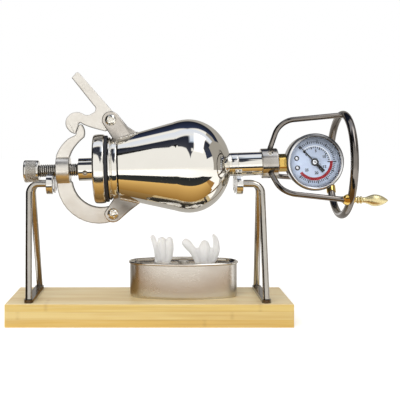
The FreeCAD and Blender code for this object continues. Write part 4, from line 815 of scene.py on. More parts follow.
def set_studio():
    """The floor, one lamp and the sheets that only polished metal shows: pale and dark bands
    over the bottle, windows in them, side walls, and a wooden table with the board's shade."""
    reach = 6.0
    sheet("floor", [(-reach, -reach, 0), (reach, -reach, 0), (reach, reach, 0), (-reach, reach, 0)],
          [(0, 1, 2, 3)], None, floor_shader)
    soft_box("key", (-0.5, -0.9, 1.1), (0, 0, 0.1), (0.9, 0.5), 9.0)
    night, dusk, lamp = (0.008, 0.008, 0.012), (0.035, 0.05, 0.11), (3.4, 3.4, 3.5)
    card("back_wall", (-2.2, 2.2), 128, 178, (0.46, 0.44, 0.41), (0.40, 0.38, 0.35))
    card("dark_over", (-2.2, -0.53, -0.45, -0.25, 0.0, 0.4, 1.0, 2.2),
         (124, 124, 116, 108, 100, 108, 116, 116), (162, 162, 156, 152, 148, 142, 136, 136),
         dusk, night, 0.12, 1.08)
    card("pale_sky", (-2.2, 2.2), 82, 104, (0.93, 0.97, 1.06), (0.80, 0.88, 1.06), 0.2, 1.09)
    card("dark_front", (-2.2, -0.53, -0.46, -0.3, -0.12, 0.0, 0.06, 0.12, 0.24, 0.5, 1.0, 2.2),
         (61, 61, 52, 49, 43, 27, 17, 27, 39, 46, 50, 50),
         (79, 79, 80, 81, 82, 82, 82, 82, 82, 82, 82, 82),
         (0.06, 0.065, 0.085), (0.012, 0.016, 0.035), 0.10, 1.07)
    card("window", (-0.02, 0.52), 58, 86, (0.62, 0.74, 0.95), (0.95, 1.0, 1.1), 0.22, 1.05, True)
    card("window_spot", (0.10, 0.24), 36, 46, (1, 1, 1), (1, 1, 1), 0.3, 1.05, True)
    card("strip_light", (0.22, 0.85), 36, 92, lamp, lamp, 0.3, 1.04, True)
    upright("left_wall", -0.9, (-0.95, 1.5), (0, 2), (0.015, 0.015, 0.015))
    upright("right_wall_front", 1.3, (-1.0, -0.42), (0.6, 2), (0.04, 0.05, 0.09))
    upright("right_wall", 1.3, (-0.42, 1.5), (0, 2), (0.40, 0.38, 0.35))
    upright("low_brown", -0.3, (-0.4, 0.3), (0, 0.12), (0.035, 0.026, 0.018))
    ground("floor_strip", -0.7, (0.16, 0.25), -0.180, -0.096, (0.02, 0.024, 0.028),
           (0.04, 0.042, 0.04), 66)
    ground("table_wood", -0.5, (0.14, 0.125), -0.096, -0.026, (0.86, 0.54, 0.18),
           (0.36, 0.19, 0.045), 66)
    ground("board_shade", -0.128, (-0.025, -0.025), -0.039, 0.039, (0.40, 0.24, 0.08),
           (0.16, 0.09, 0.03), 21.6)
    ground("tin_shade", -0.016, (0.08, 0.08), -0.014, 0.014, (0.05, 0.045, 0.035),
           (0.02, 0.018, 0.015), 53.0)
    ground("table_edge", -0.3, (0.3, 0.3), -0.185, -0.041, (0.50, 0.27, 0.08), (0.40, 0.21, 0.06))
    ground("behind_board", -0.5, (0.5, 0.5), 0.041, 0.8, (0.48, 0.46, 0.43), (0.6, 0.58, 0.55))


# ---- stand ----
def legs():
    """Round rods from the foot strip up, bent over into the rollers' bores."""
    for side, (foot_x, top_x, roller_x) in STANDS.items():
        inner = roller_x + (BEARING_HALF if roller_x > foot_x else -BEARING_HALF)
        for depth, sign in DEPTHS.items():
            line = [(foot_x, sign * FOOT_SPREAD, STRIP_TOP), (top_x, sign * AXLE_Y, AXLE_Z),
                    (inner, sign * AXLE_Y, AXLE_Z)]
            piece(f"{side}_{depth}_bent_rod", [swept(bent(line, ROD_BEND) * MM, ROD_RADIUS, 32)],
                  "stand_steel", "base", [f"{side}_{depth}_leg"])


def rollers():
    """Each roller is one ring with a shield sunk in both sides, turned about its own axle; the
    sunk shields are painted darker, a painted shade in their recess."""
    half, rim, bore, shield = BEARING_HALF, BEARING_RADIUS, 7.6, 5.05
    sunk, count = half - 0.3, 72
    section = soften([(-sunk, shield), (-sunk, bore - 0.2), (-half, bore), (-half, rim),
                      (half, rim), (half, bore), (sunk, bore - 0.2), (sunk, shield)],
                     (0, 0.1, 0.1, 0.45, 0.45, 0.1, 0.1, 0), closed=True)
    # painted shade in the sunk shields: every point inside the bore's edge is darkened
    painted_dark = np.repeat(np.where(section[:, 1] < bore, 0.75, 0.0), count)
    for side, (_, _, roller_x) in STANDS.items():
        for depth, sign in DEPTHS.items():
            centre = np.array((roller_x, sign * AXLE_Y, AXLE_Z)) * MM
            ring = turned(section, centre, LEVEL, SIDE, count, True)
            piece(f"{side}_{depth}_roller_ring", [ring], "bearing_steel",
                  f"{side}_{depth}_roller", [f"{side}_{depth}_roller"],
                  painted_shade=painted_dark)


# ---- pressure bottle and what is turned about its axis ----
def bottle_outside(inset=0.0):
    """Points (u, radius): a cone, an arc into the belly and a quarter ellipse down to the neck.
    Half-way along the arc 0.27 of its rise is still to come."""
    via = ((CONE_END + BELLY_U) / 2, BELLY_RADIUS - (BELLY_RADIUS - CONE_END_RADIUS) * 0.27)
    blend = arc((CONE_END, CONE_END_RADIUS), via, (BELLY_U, BELLY_RADIUS), 14)
    cone_u = np.linspace(BOTTLE_START, CONE_END, 12)[:-1]
    cone = np.interp(cone_u, (BOTTLE_START, CONE_END), (BOTTLE_START_RADIUS, CONE_END_RADIUS))
    tall, long = BELLY_RADIUS - inset, SHOULDER_DEPTH - inset
    angle = np.linspace(0, np.arccos(NECK_RADIUS / tall), 56)[1:]
    shoulder = np.stack([BELLY_U + long * np.sin(angle), tall * np.cos(angle)], -1)
    front = np.concatenate([np.stack([cone_u, cone], -1), blend]) - (0.0, inset)
    return np.concatenate([front, shoulder])


def pressure_bottle():
    """The bottle's wall, closed between its outside and the same line drawn in."""
    wall = np.concatenate([bottle_outside(), bottle_outside(BOTTLE_WALL)[::-1]])
    piece("bottle_shell", [on_axis(wall, 192, closed=True)], "mirror_steel", "rotor",
          ["pressure_bottle"])


def mouth_flange():
    """A rounded lip, a turned groove behind it and a thinner ring that runs into the cone."""
    start, end, rim = FLANGE_START, FLANGE_END, FLANGE_RADIUS
    groove = rim - 1.3
    outside = soften([(start, MOUTH_BORE), (start, rim), (start + 2.3, rim),
                      (start + 2.8, groove), (start + 3.5, groove), (start + 3.9, rim - 0.4),
                      (end - 1.2, rim - 0.7), (end - 0.2, BOTTLE_START_RADIUS - 0.4),
                      (end, MOUTH_BORE)], (0, 1.5, 0.6, 0.3, 0.3, 0.8, 1.2, 0.5, 0))
    piece("mouth_lip", [on_axis(outside, 160, closed=True)], "mirror_steel", "rotor",
          ["mouth_flange"])


def neck():
    """The neck tube with a groove for the loose ring, and the ring."""
    start, gap = 69.5, 0.06
    left, right = NECK_RING_START, NECK_RING_END
    groove = NECK_RADIUS - NECK_RING_WALL
    tube = soften([(start, NECK_BORE), (start, NECK_RADIUS), (left - gap, NECK_RADIUS),
                   (left - gap, groove), (right + gap, groove), (right + gap, NECK_RADIUS),
                   (NECK_END, NECK_RADIUS), (NECK_END, NECK_BORE)],
                  (0, 0, 0.25, 0, 0, 0.25, 0, 0), closed=True)
    piece("neck", [on_axis(tube, closed=True)], "mirror_steel", "rotor",
          ["neck_tube"])
    ring = soften([(left, groove + gap), (left, NECK_RADIUS), (right, NECK_RADIUS),
                   (right, groove + gap)], (0, 0.35, 0.35, 0), closed=True)
    piece("running_ring", [on_axis(ring, closed=True)], "bearing_steel", "neck_carrier",
          ["neck_ring"])


def lid():
    """The lid's thick disc and its dark gasket."""
    crowned = [(LID_START, 0), (LID_START, LID_RADIUS - 0.5), (LID_START + 5.0, LID_RADIUS),
               (LID_END - 3.0, LID_RADIUS - 0.1), (LID_END, LID_RADIUS - 0.6), (LID_END, 0)]
    disc = soften(crowned, (0, 2.8, 2.0, 1.5, 1.6, 0), 9)
    piece("lid_disc", [on_axis(disc, 160)], "lid_steel", "lid",
          ["lid_plate"])
    seal = soften([(LID_END, GASKET_BORE), (LID_END, GASKET_RADIUS), (GASKET_END, GASKET_RADIUS),
                   (GASKET_END, GASKET_BORE)], (0, 0.3, 0.6, 0.5), closed=True)
    piece("lid_seal", [on_axis(seal, 128, closed=True)], "gasket_rubber", "lid",
          ["lid_gasket"])


def clamp_screw():
    """A threaded rod: on a grid of u and angle the radius is the root plus a ridge, which is
    high where u / pitch less the share of a turn is near a half, and fades at both ends.  The
    plain rows before it are hidden in the knob, and those after it are the screw's tip."""
    deep = THREAD_DEPTH * 1.5
    root, core = SCREW_RADIUS - deep, 5.0
    rows = int((THREAD_END - THREAD_START) / 0.16)
    u = np.linspace(THREAD_START, THREAD_END, rows)[:, None]
    angle = full_turn(64)[None]
    phase = np.abs((u / SCREW_PITCH - angle / (2 * pi)) % 1.0 - 0.5) * 2
    ridge = np.clip((0.82 - phase) / 0.55, 0, 1)
    fade = np.clip(np.minimum(u - THREAD_START, THREAD_END - u) / 1.2, 0, 1)
    before = np.array([(THREAD_START - 8.0, 0), (THREAD_START - 8.0, core), (THREAD_START, core),
                       (THREAD_START, root)])
    tip = np.array([(THREAD_END, JOURNAL_RADIUS), (JOURNAL_END, JOURNAL_RADIUS),
                    (JOURNAL_END, 0)])
    whole = np.concatenate([round_axis(before[:, :1], before[:, 1:], angle),
                            round_axis(u, root + deep * ridge * fade, angle),
                            round_axis(tip[:, :1], tip[:, 1:], angle)])
    depth = (SCREW_RADIUS - np.linalg.norm(whole[..., 1:], axis=-1)) / deep
    # painted shade: darker with the depth into the thread's grooves, none on the tip
    painted_dark = np.clip(depth, 0, 1) * 0.95
    painted_dark[-len(tip):] = 0.0
    piece("threaded_rod", [grid(on_rotor(whole), ring=True)], "screw_steel", "screw",
          ["clamp_screw"], sharp=50, painted_shade=painted_dark)


def screw_knob():
    """A round knob with diamond knurling: two families of helical grooves crossing on a grid of
    u and angle; the depth is that of the nearer groove and fades before both rims."""
    starts, slant, depth, rim = 40, 1.45, 0.38, 1.9
    u = np.linspace(KNOB_START + 1.0, THREAD_START - 1.0, 100)[:, None]
    angle = full_turn(400)[None]
    body = KNOB_RADIUS - KNOB_TAPER * (u - KNOB_START) / (THREAD_START - KNOB_START)
    turn = starts * angle / (2 * pi)
    lean = (u - KNOB_START) / slant
    valleys = [np.abs((turn + way * lean) % 1.0 - 0.5) * 2 for way in (1, -1)]
    groove = np.clip(1 - np.minimum(1 - valleys[0], 1 - valleys[1]) / 0.42, 0, 1)
    inside = np.clip(np.minimum(u - KNOB_START - rim, THREAD_START - rim - u) / 0.3, 0, 1)
    wide, narrow = KNOB_RADIUS, KNOB_RADIUS - KNOB_TAPER
    front = soften([(KNOB_START + 0.5, 0), (KNOB_START + 0.5, wide - 2.6),
                    (KNOB_START, wide - 2.0), (KNOB_START, wide - 0.3),
                    (KNOB_START + 1.0, wide - 0.05)], (0, 0.3, 0.3, 0.6, 0))
    back = soften([(THREAD_START - 1.0, narrow + 0.05), (THREAD_START, narrow - 0.2),
                   (THREAD_START, narrow - 2.0), (THREAD_START, 0)], (0, 0.7, 0, 0))
    ends = [round_axis(line[:, :1], line[:, 1:], angle) for line in (front, back)]
    whole = np.concatenate([ends[0], round_axis(u, body - depth * groove * inside, angle),
                            ends[1]])
    # painted shade: darker in the knurl's grooves, none on the ends
    painted_dark = np.concatenate([0 * ends[0][..., 0], groove * inside * 0.45, 0 * ends[1][..., 0]])
    piece("knurled_knob", [grid(on_rotor(whole), ring=True)], "screw_steel", "screw",
          ["screw_knob"], sharp=50, painted_shade=painted_dark)


# ---- hand wheel and crank grip ----
def wheel_turned(profile, centre=(0.0, 0.0), count=120, closed=False):
    """A patch turned about a line along u through centre (y, w), from points (u, radius)."""
    profile = np.asarray(profile, float)
    points = round_axis(profile[:, :1], profile[:, 1:], full_turn(count)[None]) + (0.0, *centre)
    return grid(on_wheel(points), ring=True, loop=closed)


def hand_wheel():
    """A round rod bent into a ring, and three spokes that run out of the hub and bend along;
    each is a little thicker where it is welded to the ring, and painted dark at the hub as a painted shadow."""
    circle = full_turn(40)
    section = np.stack([WHEEL_U + WHEEL_ROD_RADIUS * np.cos(circle),
                        WHEEL_RADIUS + WHEEL_ROD_RADIUS * np.sin(circle)], -1)
    piece("steel_ring", [wheel_turned(section, count=192, closed=True)], "wheel_steel", "rotor",
          ["wheel_ring"])
    for name, (angle, before) in SPOKES.items():
        corners = [around(angle, *SPOKE_ROOT), around(angle, *SPOKE_CORNER),
                   around(angle, WHEEL_U - before, WHEEL_RADIUS)]
        path = on_wheel(bent(corners, SPOKE_BEND, 30))
        size = np.full(len(path), SPOKE_RADIUS)
        size[-3:] += (0.1, 0.3, 0.6)
        out = np.linalg.norm(np.cross(path - AXIS_AT, ALONG), axis=1) / MM
        # painted shadow at the hub: dark up to 13 mm out, fading by 17.5 mm
        painted_dark = np.interp(out[[0, *range(len(out)), -1]], (13.0, 15.0, 17.5), (1.0, 0.8, 0.0))
        piece(f"{name}_spoke_rod", [swept(path, size, 32)], "wheel_steel", "rotor",
              [f"{name}_spoke"], painted_shade=np.repeat(painted_dark, 32))


def crank_grip():
    """Brass eyelet on the ring, two beads and a spindle.

    The eyelet is a ball, half as thick towards the wheel's middle, so that the ring's rod shows
    in front of it.  The beads are the absolute value of a sine along the neck.  With t the share
    of the spindle's length, its radius swells as sin squared up to the belly and falls as
    1 - t squared to a point."""
    _, y, w = around(SPOKES["front"][0], 0.0, WHEEL_RADIUS)
    angle, turn = np.linspace(0, pi, 40)[:, None], full_turn(72)[None]
    inward, squeeze = np.array((y, w)) / WHEEL_RADIUS, 0.52
    reach = squeeze * EYELET_RADIUS * np.sin(angle) * np.cos(turn)
    side = EYELET_RADIUS * np.sin(angle) * np.sin(turn)
    ball = np.stack([WHEEL_U - EYELET_BEFORE - EYELET_RADIUS * np.cos(angle) + 0 * turn,
                     y + reach * inward[0] - side * inward[1],
                     w + reach * inward[1] + side * inward[0]], -1)
    piece("brass_eyelet", [grid(on_wheel(ball), ring=True)], "brass", "rotor",
          ["handle_eyelet"])
    length, root, waist, bulge, overlap = 5.6, 2.4, 1.9, 1.5, 3.0
    start = GRIP_START - length - 0.2
    along = np.linspace(0, length, 45)
    beads = waist + bulge * np.abs(np.sin(along * 2 * pi / length)) ** 0.6
    neck_line = np.concatenate([[(start - overlap, 0), (start - overlap, root), (start, root)],
                                np.stack([start + along, beads], -1), [(start + length, 0)]])
    piece("beaded_neck", [wheel_turned(neck_line, (y, w), 64)], "pale_brass", "rotor",
          ["handle_neck"])
    belly, belly_radius = 0.47, 5.3
    t = np.linspace(0, 1, 60)
    swell = root + (belly_radius - root) * np.sin(pi / 2 * np.minimum(t / belly, 1)) ** 2
    past = np.clip(t - belly, 0, 1) / (1 - belly)
    fall = belly_radius * np.clip(1 - past ** 2, 0, 1) ** 0.9
    spindle = np.stack([GRIP_START + GRIP_LENGTH * t, np.where(t < belly, swell, fall)], -1)
    piece("brass_spindle", [wheel_turned([(GRIP_START, 0), *spindle], (y, w), 72)],
          "pale_brass", "grip", ["handle_grip"])


# ---- latch and yoke ----
def shifted(place, *steps):
    """Outline steps given from a place (u, w), moved to it."""
    return [np.asarray(step, float) + place for step in steps]


def latch_lever():
    """A straight handle, an eye and a hook that curls over the yoke's nose; its edge is painted
    dark where it faces down and to the left, a painted shade."""
    eye = [polar((0, 0), LEVER_EYE, angle) for angle in (-40, 0, 38)]
    outline = trace(*shifted(
        LEVER_PIVOT, (-35.7, 41.1), (-15.6, 14.1), ((-14.2, 10.1), (-17.4, 7.0)),
        ((-21.6, 5.4), (-25.8, 6.5)), ((-33.4, 8.6), (-39.8, 5.5)), ((-43.0, -1.5), (-40.9, -7.4)),
        ((-38.2, -10.2), (-34.7, -11.9)), (-33.95, -11.1), (-31.3, -4.0),
        ((-29.8, -1.8), (-27.4, -2.7)), ((-21.4, -5.5), (-15.0, -7.7)), (-5.7, -10.5),
        eye[0], eye[1:], (-28.3, 45.1), ((-30.0, 46.1), (-31.6, 45.5))))
    patch, normal = rimmed(outline, PLATE_HALF, rim=1.3)
    # painted shade on the edge that faces down and to the left
    painted_dark = np.clip(-0.45 * normal[:, 0] - 0.9 * normal[:, 1], 0, 1)
    piece("latch_lever", [patch], "cast_steel", "lever", ["release_lever"],
          edge=1.0, painted_shade=painted_edge_shade(painted_dark))


def yoke():
    """The two arms of the yoke, from the threaded boss to the nose and to the hinge."""
    start, end = np.array((BOSS_START, BOSS_RADIUS)), np.array((BOSS_END, BOSS_RADIUS))
    outside = shifted(start, (0.0, -5.0), (0.0, 0.5), ((4.8, 9.4), (12.3, 16.8)))
    nose = shifted(LEVER_PIVOT, (-35.6, -13.7), ((-33.6, -12.3), (-33.2, -10.5)), (-30.7, -4.2),
                   ((-28.6, -3.1), (-26.9, -4.7)), ((-25.2, -10.2), (-26.1, -15.4)))
    inside = shifted(end, ((8.4, 12.6), (2.1, 4.6)), (-0.1, -0.3), (-0.1, -5.0))
    eye = EAR_EYE - 0.6
    round_arm = trace((BOSS_START, 5.0 - BOSS_RADIUS), (BOSS_START, 1.0 - BOSS_RADIUS),
                      (polar(YOKE_CENTRE, 46.5, 238), polar(YOKE_PIVOT, eye, 262)),
                      (polar(YOKE_PIVOT, eye, 0), polar(YOKE_PIVOT, eye, 118)),
                      (polar(YOKE_CENTRE, 31.5, 225), polar(YOKE_CENTRE, 32.7, 187.6)),
                      (BOSS_END, 3.0 - BOSS_RADIUS), (BOSS_END, 5.0 - BOSS_RADIUS))
    arms = (("yoke_nose_arm", trace(*outside, *nose, *inside), "yoke_upper_arm"),
            ("yoke_round_arm", round_arm, "yoke_lower_arm"))
    for name, outline, node in arms:
        patch, _ = rimmed(outline, PLATE_HALF, rim=1.1)
        # painted shade: the whole edge of each arm is painted dark
        piece(name, [patch], "cast_steel", "yoke", [node], edge=0.8,
              painted_shade=painted_edge_shade(np.full(len(outline), 0.8)))


def ears():
    """Two pairs of plates with round eyes; their middle, between eye and weld, is painted darker
    and duller, a painted dark reflection.
    """
    near = PLATE_HALF + EAR_GAP
    # piece, node, pivot, three angles of the round eye, and the foot's corners from the pivot
    rows = (("latch_ears", "lever_ears", LEVER_PIVOT, (200, 122, 45),
             ((15.4, -6.6), (25.0, -13.0), (23.5, -24.4), (4.5, -25.5), (1.5, -18.1))),
            ("hinge_ears", "yoke_ears", YOKE_PIVOT, (170, 240, -50),
             ((16.6, 2.8), (25.6, 9.2), (24.0, 20.6), (5.1, 21.5), (2.1, 15.8))))
    for name, node, pivot, turns, foot in rows:
        eye = [polar((0, 0), EAR_EYE, turn) for turn in turns]
        line = trace(*shifted(pivot, eye[0], eye[1:], *foot))
        distance = np.linalg.norm(line - pivot, axis=1)
        # painted dark reflection: none at the eye, most at 18 mm out, little at the foot
        painted_dark = np.tile(np.interp(distance, (EAR_EYE, 18.0, 30.0), (0.0, 0.85, 0.15)), 4)
        sides = [plate(line, -EAR_OUTSIDE, -near), plate(line, near, EAR_OUTSIDE)]
        piece(name, sides, "ear_steel", "rotor", [node], edge=1.1, painted_shade=painted_dark)


def pivot_screws():
    """Pan heads on a polar grid: the height is a dome less a cross that is deepest where the
    distance to either of two crossed lines is small; the shank follows behind."""
    radius, height, turn = 5.4, 3.0, radians(20)
    slot_half, slot_reach, slot_depth = 0.85, 3.2, 1.7
    shank, tip = 3.0, EAR_OUTSIDE + 5.5
    reach = np.linspace(0, 1, 26)[:, None] ** 0.9
    angle = full_turn(72)[None]
    across, up = reach * radius * np.cos(angle), reach * radius * np.sin(angle)
    dome = height * np.sqrt(np.clip(1 - (reach * 0.985) ** 2.6, 0, 1))
    lines = [np.abs(across * cos(turn + add) + up * sin(turn + add)) for add in (0, pi / 2)]
    cross = np.clip((slot_half - np.minimum(*lines)) / 0.3, 0, 1)
    cross = cross * np.clip((slot_reach - reach * radius) / 0.7, 0, 1)
    depth = -EAR_OUTSIDE - dome + slot_depth * cross
    patches = []
    for pivot in (LEVER_PIVOT, YOKE_PIVOT):
        rows = [np.stack([pivot[0] + across, depth, pivot[1] + up], -1)]
        for size, y in ((radius, -EAR_OUTSIDE), (shank, -EAR_OUTSIDE), (shank, tip - 0.5),
                        (shank - 0.5, tip), (0.0, tip)):
            rows.append(np.stack([pivot[0] + size * np.cos(angle), np.full_like(angle, y),
                                  pivot[1] + size * np.sin(angle)], -1))
        patches.append(grid(on_rotor(np.concatenate(rows)), ring=True))
    piece("cross_screws", patches, "mirror_steel", "rotor", ["pivot_screws"])


def weld_beads():
    """Weld along both sides of each ear's foot: a bead that follows the line where the ear's
    outer face meets the bottle's cone, its radius rippled by a sine along the line."""
    patches = []
    slope = (CONE_END_RADIUS - BOTTLE_START_RADIUS) / (CONE_END - BOTTLE_START)
    for sign, u_from, u_to in ((1, BOTTLE_START + 0.4, -9.8), (-1, BOTTLE_START + 0.6, -10.4)):
        u = np.linspace(u_from, u_to, 130)
        reach = BOTTLE_START_RADIUS + (u - BOTTLE_START) * slope
        size = 1.25 + 0.22 * np.abs(np.sin(u * 3.4)) + 0.10 * np.sin(u * 8.3 + sign)
        for side in (-1, 1):
            y = np.full_like(u, side * (EAR_OUTSIDE + 0.1))
            w = sign * np.sqrt(reach ** 2 - y ** 2)
            patches.append(swept(on_rotor(np.stack([u, y, w], -1)), size, 14))
    piece("weld_beads", patches, "cast_steel", "rotor")


# ---- pressure gauge ----
def gauge_turned(profile, closed=False):
    """A patch turned about the gauge's own axis from points (y, radius)."""
    return turned(profile, on_rotor((GAUGE_U, 0, 0)), SIDE, -ALONG, 128, closed)


def gauge_shell():
    """The bezel, the domed window and the dial; the bezel has a painted dark reflection round its
    shoulder and top, and the dial a painted shadow of the bezel round its rim and top.
    """
    bezel = trace((BEZEL_BACK, BEZEL_RADIUS), (-11.5, BEZEL_RADIUS),
                  ((-14.2, 26.2), (-15.0, 24.9)), ((-14.9, 24.0), (-13.8, 23.5)), (-13.6, 25.2),
                  (-11.6, BEZEL_BORE), (BEZEL_BACK, BEZEL_BORE))
    # painted dark reflection on the bezel: its outer shoulder all round, and a crescent over its top
    shoulder = (bezel[:, 0] < -11.4) & (bezel[:, 1] > 25.5)
    top = radians(112)
    upper = np.clip(np.cos(full_turn(128) - top) * 1.5 - 0.3, 0, 1)
    painted_dark = np.maximum(0.85 * shoulder[:, None], 0.92 * upper)
    piece("bezel_ring", [gauge_turned(bezel, closed=True)], "gauge_chrome", "rotor",
          ["gauge_bezel"], painted_shade=painted_dark)
    lens = [(WINDOW_BACK, 0), (WINDOW_BACK, 25.0), (WINDOW_FRONT, 25.0),
            (WINDOW_FRONT, WINDOW_RADIUS)]
    lens += [(WINDOW_FRONT - 0.7 * (1 - (out / WINDOW_RADIUS) ** 2), out)
             for out in np.linspace(WINDOW_RADIUS, 0, 16)[1:]]
    piece("window_glass", [gauge_turned(lens)], "lens_glass", "rotor",
          ["gauge_lens"])
    face = [(DIAL_BACK, 0), (DIAL_BACK, DIAL_RADIUS), (DIAL_Y, DIAL_RADIUS), (DIAL_Y, 21.5),
            (DIAL_Y, 18.0), (DIAL_Y, 0)]
    # painted shadow of the bezel on the dial: a dark rim, and more of it towards the top
    shade = [ring + more * upper for ring, more in
             ((1.0, 0.0), (1.0, 0.0), (0.9, 0.1), (0.3, 0.6), (0.0, 0.5), (0.0, 0.0))]
    piece("dial_face", [gauge_turned(face)], "dial_white", "rotor",
          ["gauge_dial"], painted_shade=np.concatenate(shade))


def dial_bar(angle, inner, outer, width):
    """A short printed bar across the dial: a thin box between two distances from the centre."""
    out = np.array((sin(radians(angle)), cos(radians(angle))))
    side = np.array((out[1], -out[0])) * width / 2
    outline = np.array([out * inner - side, out * outer - side, out * outer + side,
                        out * inner + side]) + (GAUGE_U, 0)
    return plate(outline, DIAL_Y - PRINT_HEIGHT, DIAL_Y)


def dial_band(start, sweep, inner, outer, height):
    """A printed band round part of the dial; angles in degrees clockwise from straight up."""
    angle = np.radians(np.linspace(start, start + sweep, 72))
    out = np.stack([np.sin(angle), np.cos(angle)], -1)
    outline = np.concatenate([out * inner, out[::-1] * outer]) + (GAUGE_U, 0)
    return plate(outline, DIAL_Y - height, DIAL_Y)


def dial_print():
    """Plain scales: a white arc, black ticks outside and inside it, a red band and numbers."""
    ticks, numbers = [], []
    for steps, every, sweep, long_tick, short_tick in (
            (50, 5, SCALE_SWEEP, (17.4, 20.4, 1.1), (17.4, 19.6, 0.75)),
            (16, 4, SCALE_SWEEP / 2, (12.2, 14.5, 1.1), (12.8, 14.5, 0.75))):
        for step in range(steps + 1):
            tick = short_tick if step % every else long_tick
            ticks.append(dial_bar(SCALE_START + sweep * step / steps, *tick))
    piece("scale_ticks", ticks, "black_print", "rotor")
    arc_band = dial_band(SCALE_START, SCALE_SWEEP / 2, 14.6, 15.5, 0.05)
    piece("scale_arc", [arc_band], "white_print", "rotor")
    piece("red_zone", [dial_band(88, 146, 14.5, 17.2, 0.07)], "red_print", "rotor")
    ring, size = 10.4, 3.5
    for step in range(6):
        angle = radians(SCALE_START + SCALE_SWEEP * step / 5)
        numbers.append(printed_number(str(5 * step), ring * sin(angle), ring * cos(angle), size))
    piece("scale_numbers", numbers, "black_print", "rotor")


def dial_turned(profile, across=0.0, up=0.0, count=40):
    """A patch turned about a line square to the dial, from points (y, radius)."""
    return turned(profile, on_rotor((GAUGE_U + across, 0, up)), SIDE, -ALONG, count)


def dome_line(y, height, radius, last, count):
    """Points (y, radius) of a quarter ellipse that stands on the dial, up to an angle from the
    line through its top."""
    return [(y - height * cos(t), radius * sin(t)) for t in np.linspace(pi / 2, last, count)]


def needle():
    """A long needle with a broad tail, a black hub and a bright cap on the staff."""
    turn = radians(POINTER_REST)
    side = np.array([(-1.7, -12.0), (-1.3, -3.0), (-0.85, 0.0), (-0.7, 4.0), (-0.25, 21.0)])
    half = np.concatenate([side, [(0.0, 21.6)], side[::-1] * (-1, 1)])
    line = np.stack([half[:, 0] * cos(turn) + half[:, 1] * sin(turn),
                     half[:, 1] * cos(turn) - half[:, 0] * sin(turn)], -1) + (GAUGE_U, 0)
    hub = [(7.6, 0.0), (7.6, 0.7), (-9.0, 0.7), (-10.3, 0.7), (-10.3, 3.6), (-11.1, 3.6),
           (-11.3, 3.3), (-11.3, 0.0)]
    piece("black_needle", [plate(line, -10.9, -10.4), dial_turned(hub)], "pointer_black",
          "pointer", ["gauge_pointer"])
    cap = [(-11.2, 0.0), (-11.2, 2.1), *dome_line(-11.35, 0.35, 2.1, 0.35, 8), (-11.5, 0.7),
           (-11.5, 0.0)]
    piece("bright_cap", [dial_turned(cap)], "gauge_chrome", "pointer")
    # painted shade of the cap's dimple: a black dot
    dot = [(-11.45, 0.0), (-11.52, 0.75), (-11.55, 0.0)]
    piece("painted_dimple_shade", [dial_turned(dot, count=24)], "black_print", "pointer")


def dial_pins():
    """Two domed screws, each in a dark ring."""
    domes, rings = [], []
    dome = [(-8.7, 0.0), (-8.7, 1.5), *dome_line(-8.9, 0.7, 1.5, 0, 9)]
    ring = [(-8.75, 1.2), (-8.95, 1.3), (-9.05, 1.9), (-8.95, 2.35), (-8.75, 2.4)]
    for across, up in ((-16.4, 3.9), (-16.0, -5.0)):
        domes.append(dial_turned(dome, across, up))
        rings.append(dial_turned(ring, across, up))
    piece("domed_screws", domes, "gauge_chrome", "rotor", ["dial_screws"])
    piece("dark_washers", rings, "black_print", "rotor")


def printed_number(text, across, up, height):
    """A patch: digits as a thin raised print at a place of the dial."""
    half = PRINT_HEIGHT / 2
    curve = bpy.data.curves.new("digits", "FONT")
    curve.body = text
    curve.size = height * MM
    curve.align_x, curve.align_y = "CENTER", "CENTER"
    curve.extrude = half * MM
    curve.offset = 0.12 * MM
    curve.resolution_u = 3
    holder = bpy.data.objects.new("digits", curve)
    mesh = bpy.data.meshes.new_from_object(holder)
    flat = np.zeros(len(mesh.vertices) * 3, np.float32)
    mesh.vertices.foreach_get("co", flat)
    x, y, z = flat.reshape(-1, 3).astype(float).T / MM
    faces = [list(face.vertices) for face in mesh.polygons]
    order = np.concatenate([np.asarray(face) for face in faces])
    bpy.data.objects.remove(holder)
    bpy.data.curves.remove(curve)
    bpy.data.meshes.remove(mesh)
    points = on_rotor(np.stack([GAUGE_U + across + x, DIAL_Y - half - z, up + y], -1))
    return points, faces, np.stack([x, y], -1)[order] * MM


# ---- spirit burner ----
def oval(inset, z):
    """Points of a four-arc oval, drawn in by an inset, at a height: two round ends joined by
    two flatter sides."""
    half_length, half_width = TIN_HALF_LENGTH - inset, TIN_HALF_WIDTH - inset
    end_radius = TIN_END_RADIUS - inset
    reach = half_length - end_radius
    drop = (reach ** 2 - (half_width - end_radius) ** 2) / (2 * (half_width - end_radius))
    scale = end_radius / sqrt(reach ** 2 + drop ** 2)
    x, y = reach + reach * scale, drop * scale
    corners = [(x, -y), (x, y), (-x, y), (-x, -y)]
    middles = [(half_length, 0), (0, half_width), (-half_length, 0), (0, -half_width)]
    flat = np.concatenate([arc(first, via, last, 25)[:-1] for first, via, last in
                           zip(corners, middles, corners[1:] + corners[:1])])
    return np.column_stack([flat[:, 0] + TIN_X, flat[:, 1], np.full(len(flat), z)])


def oval_turned(profile, closed=False):
    """A patch: a profile (inset, z) carried round the oval; an inset of None is the centre."""
    rows = [oval(inset, z) if inset is not None
            else np.broadcast_to((TIN_X, 0.0, z), oval(0.0, z).shape) for inset, z in profile]
    return grid(np.stack(rows) * MM, ring=True, loop=closed)


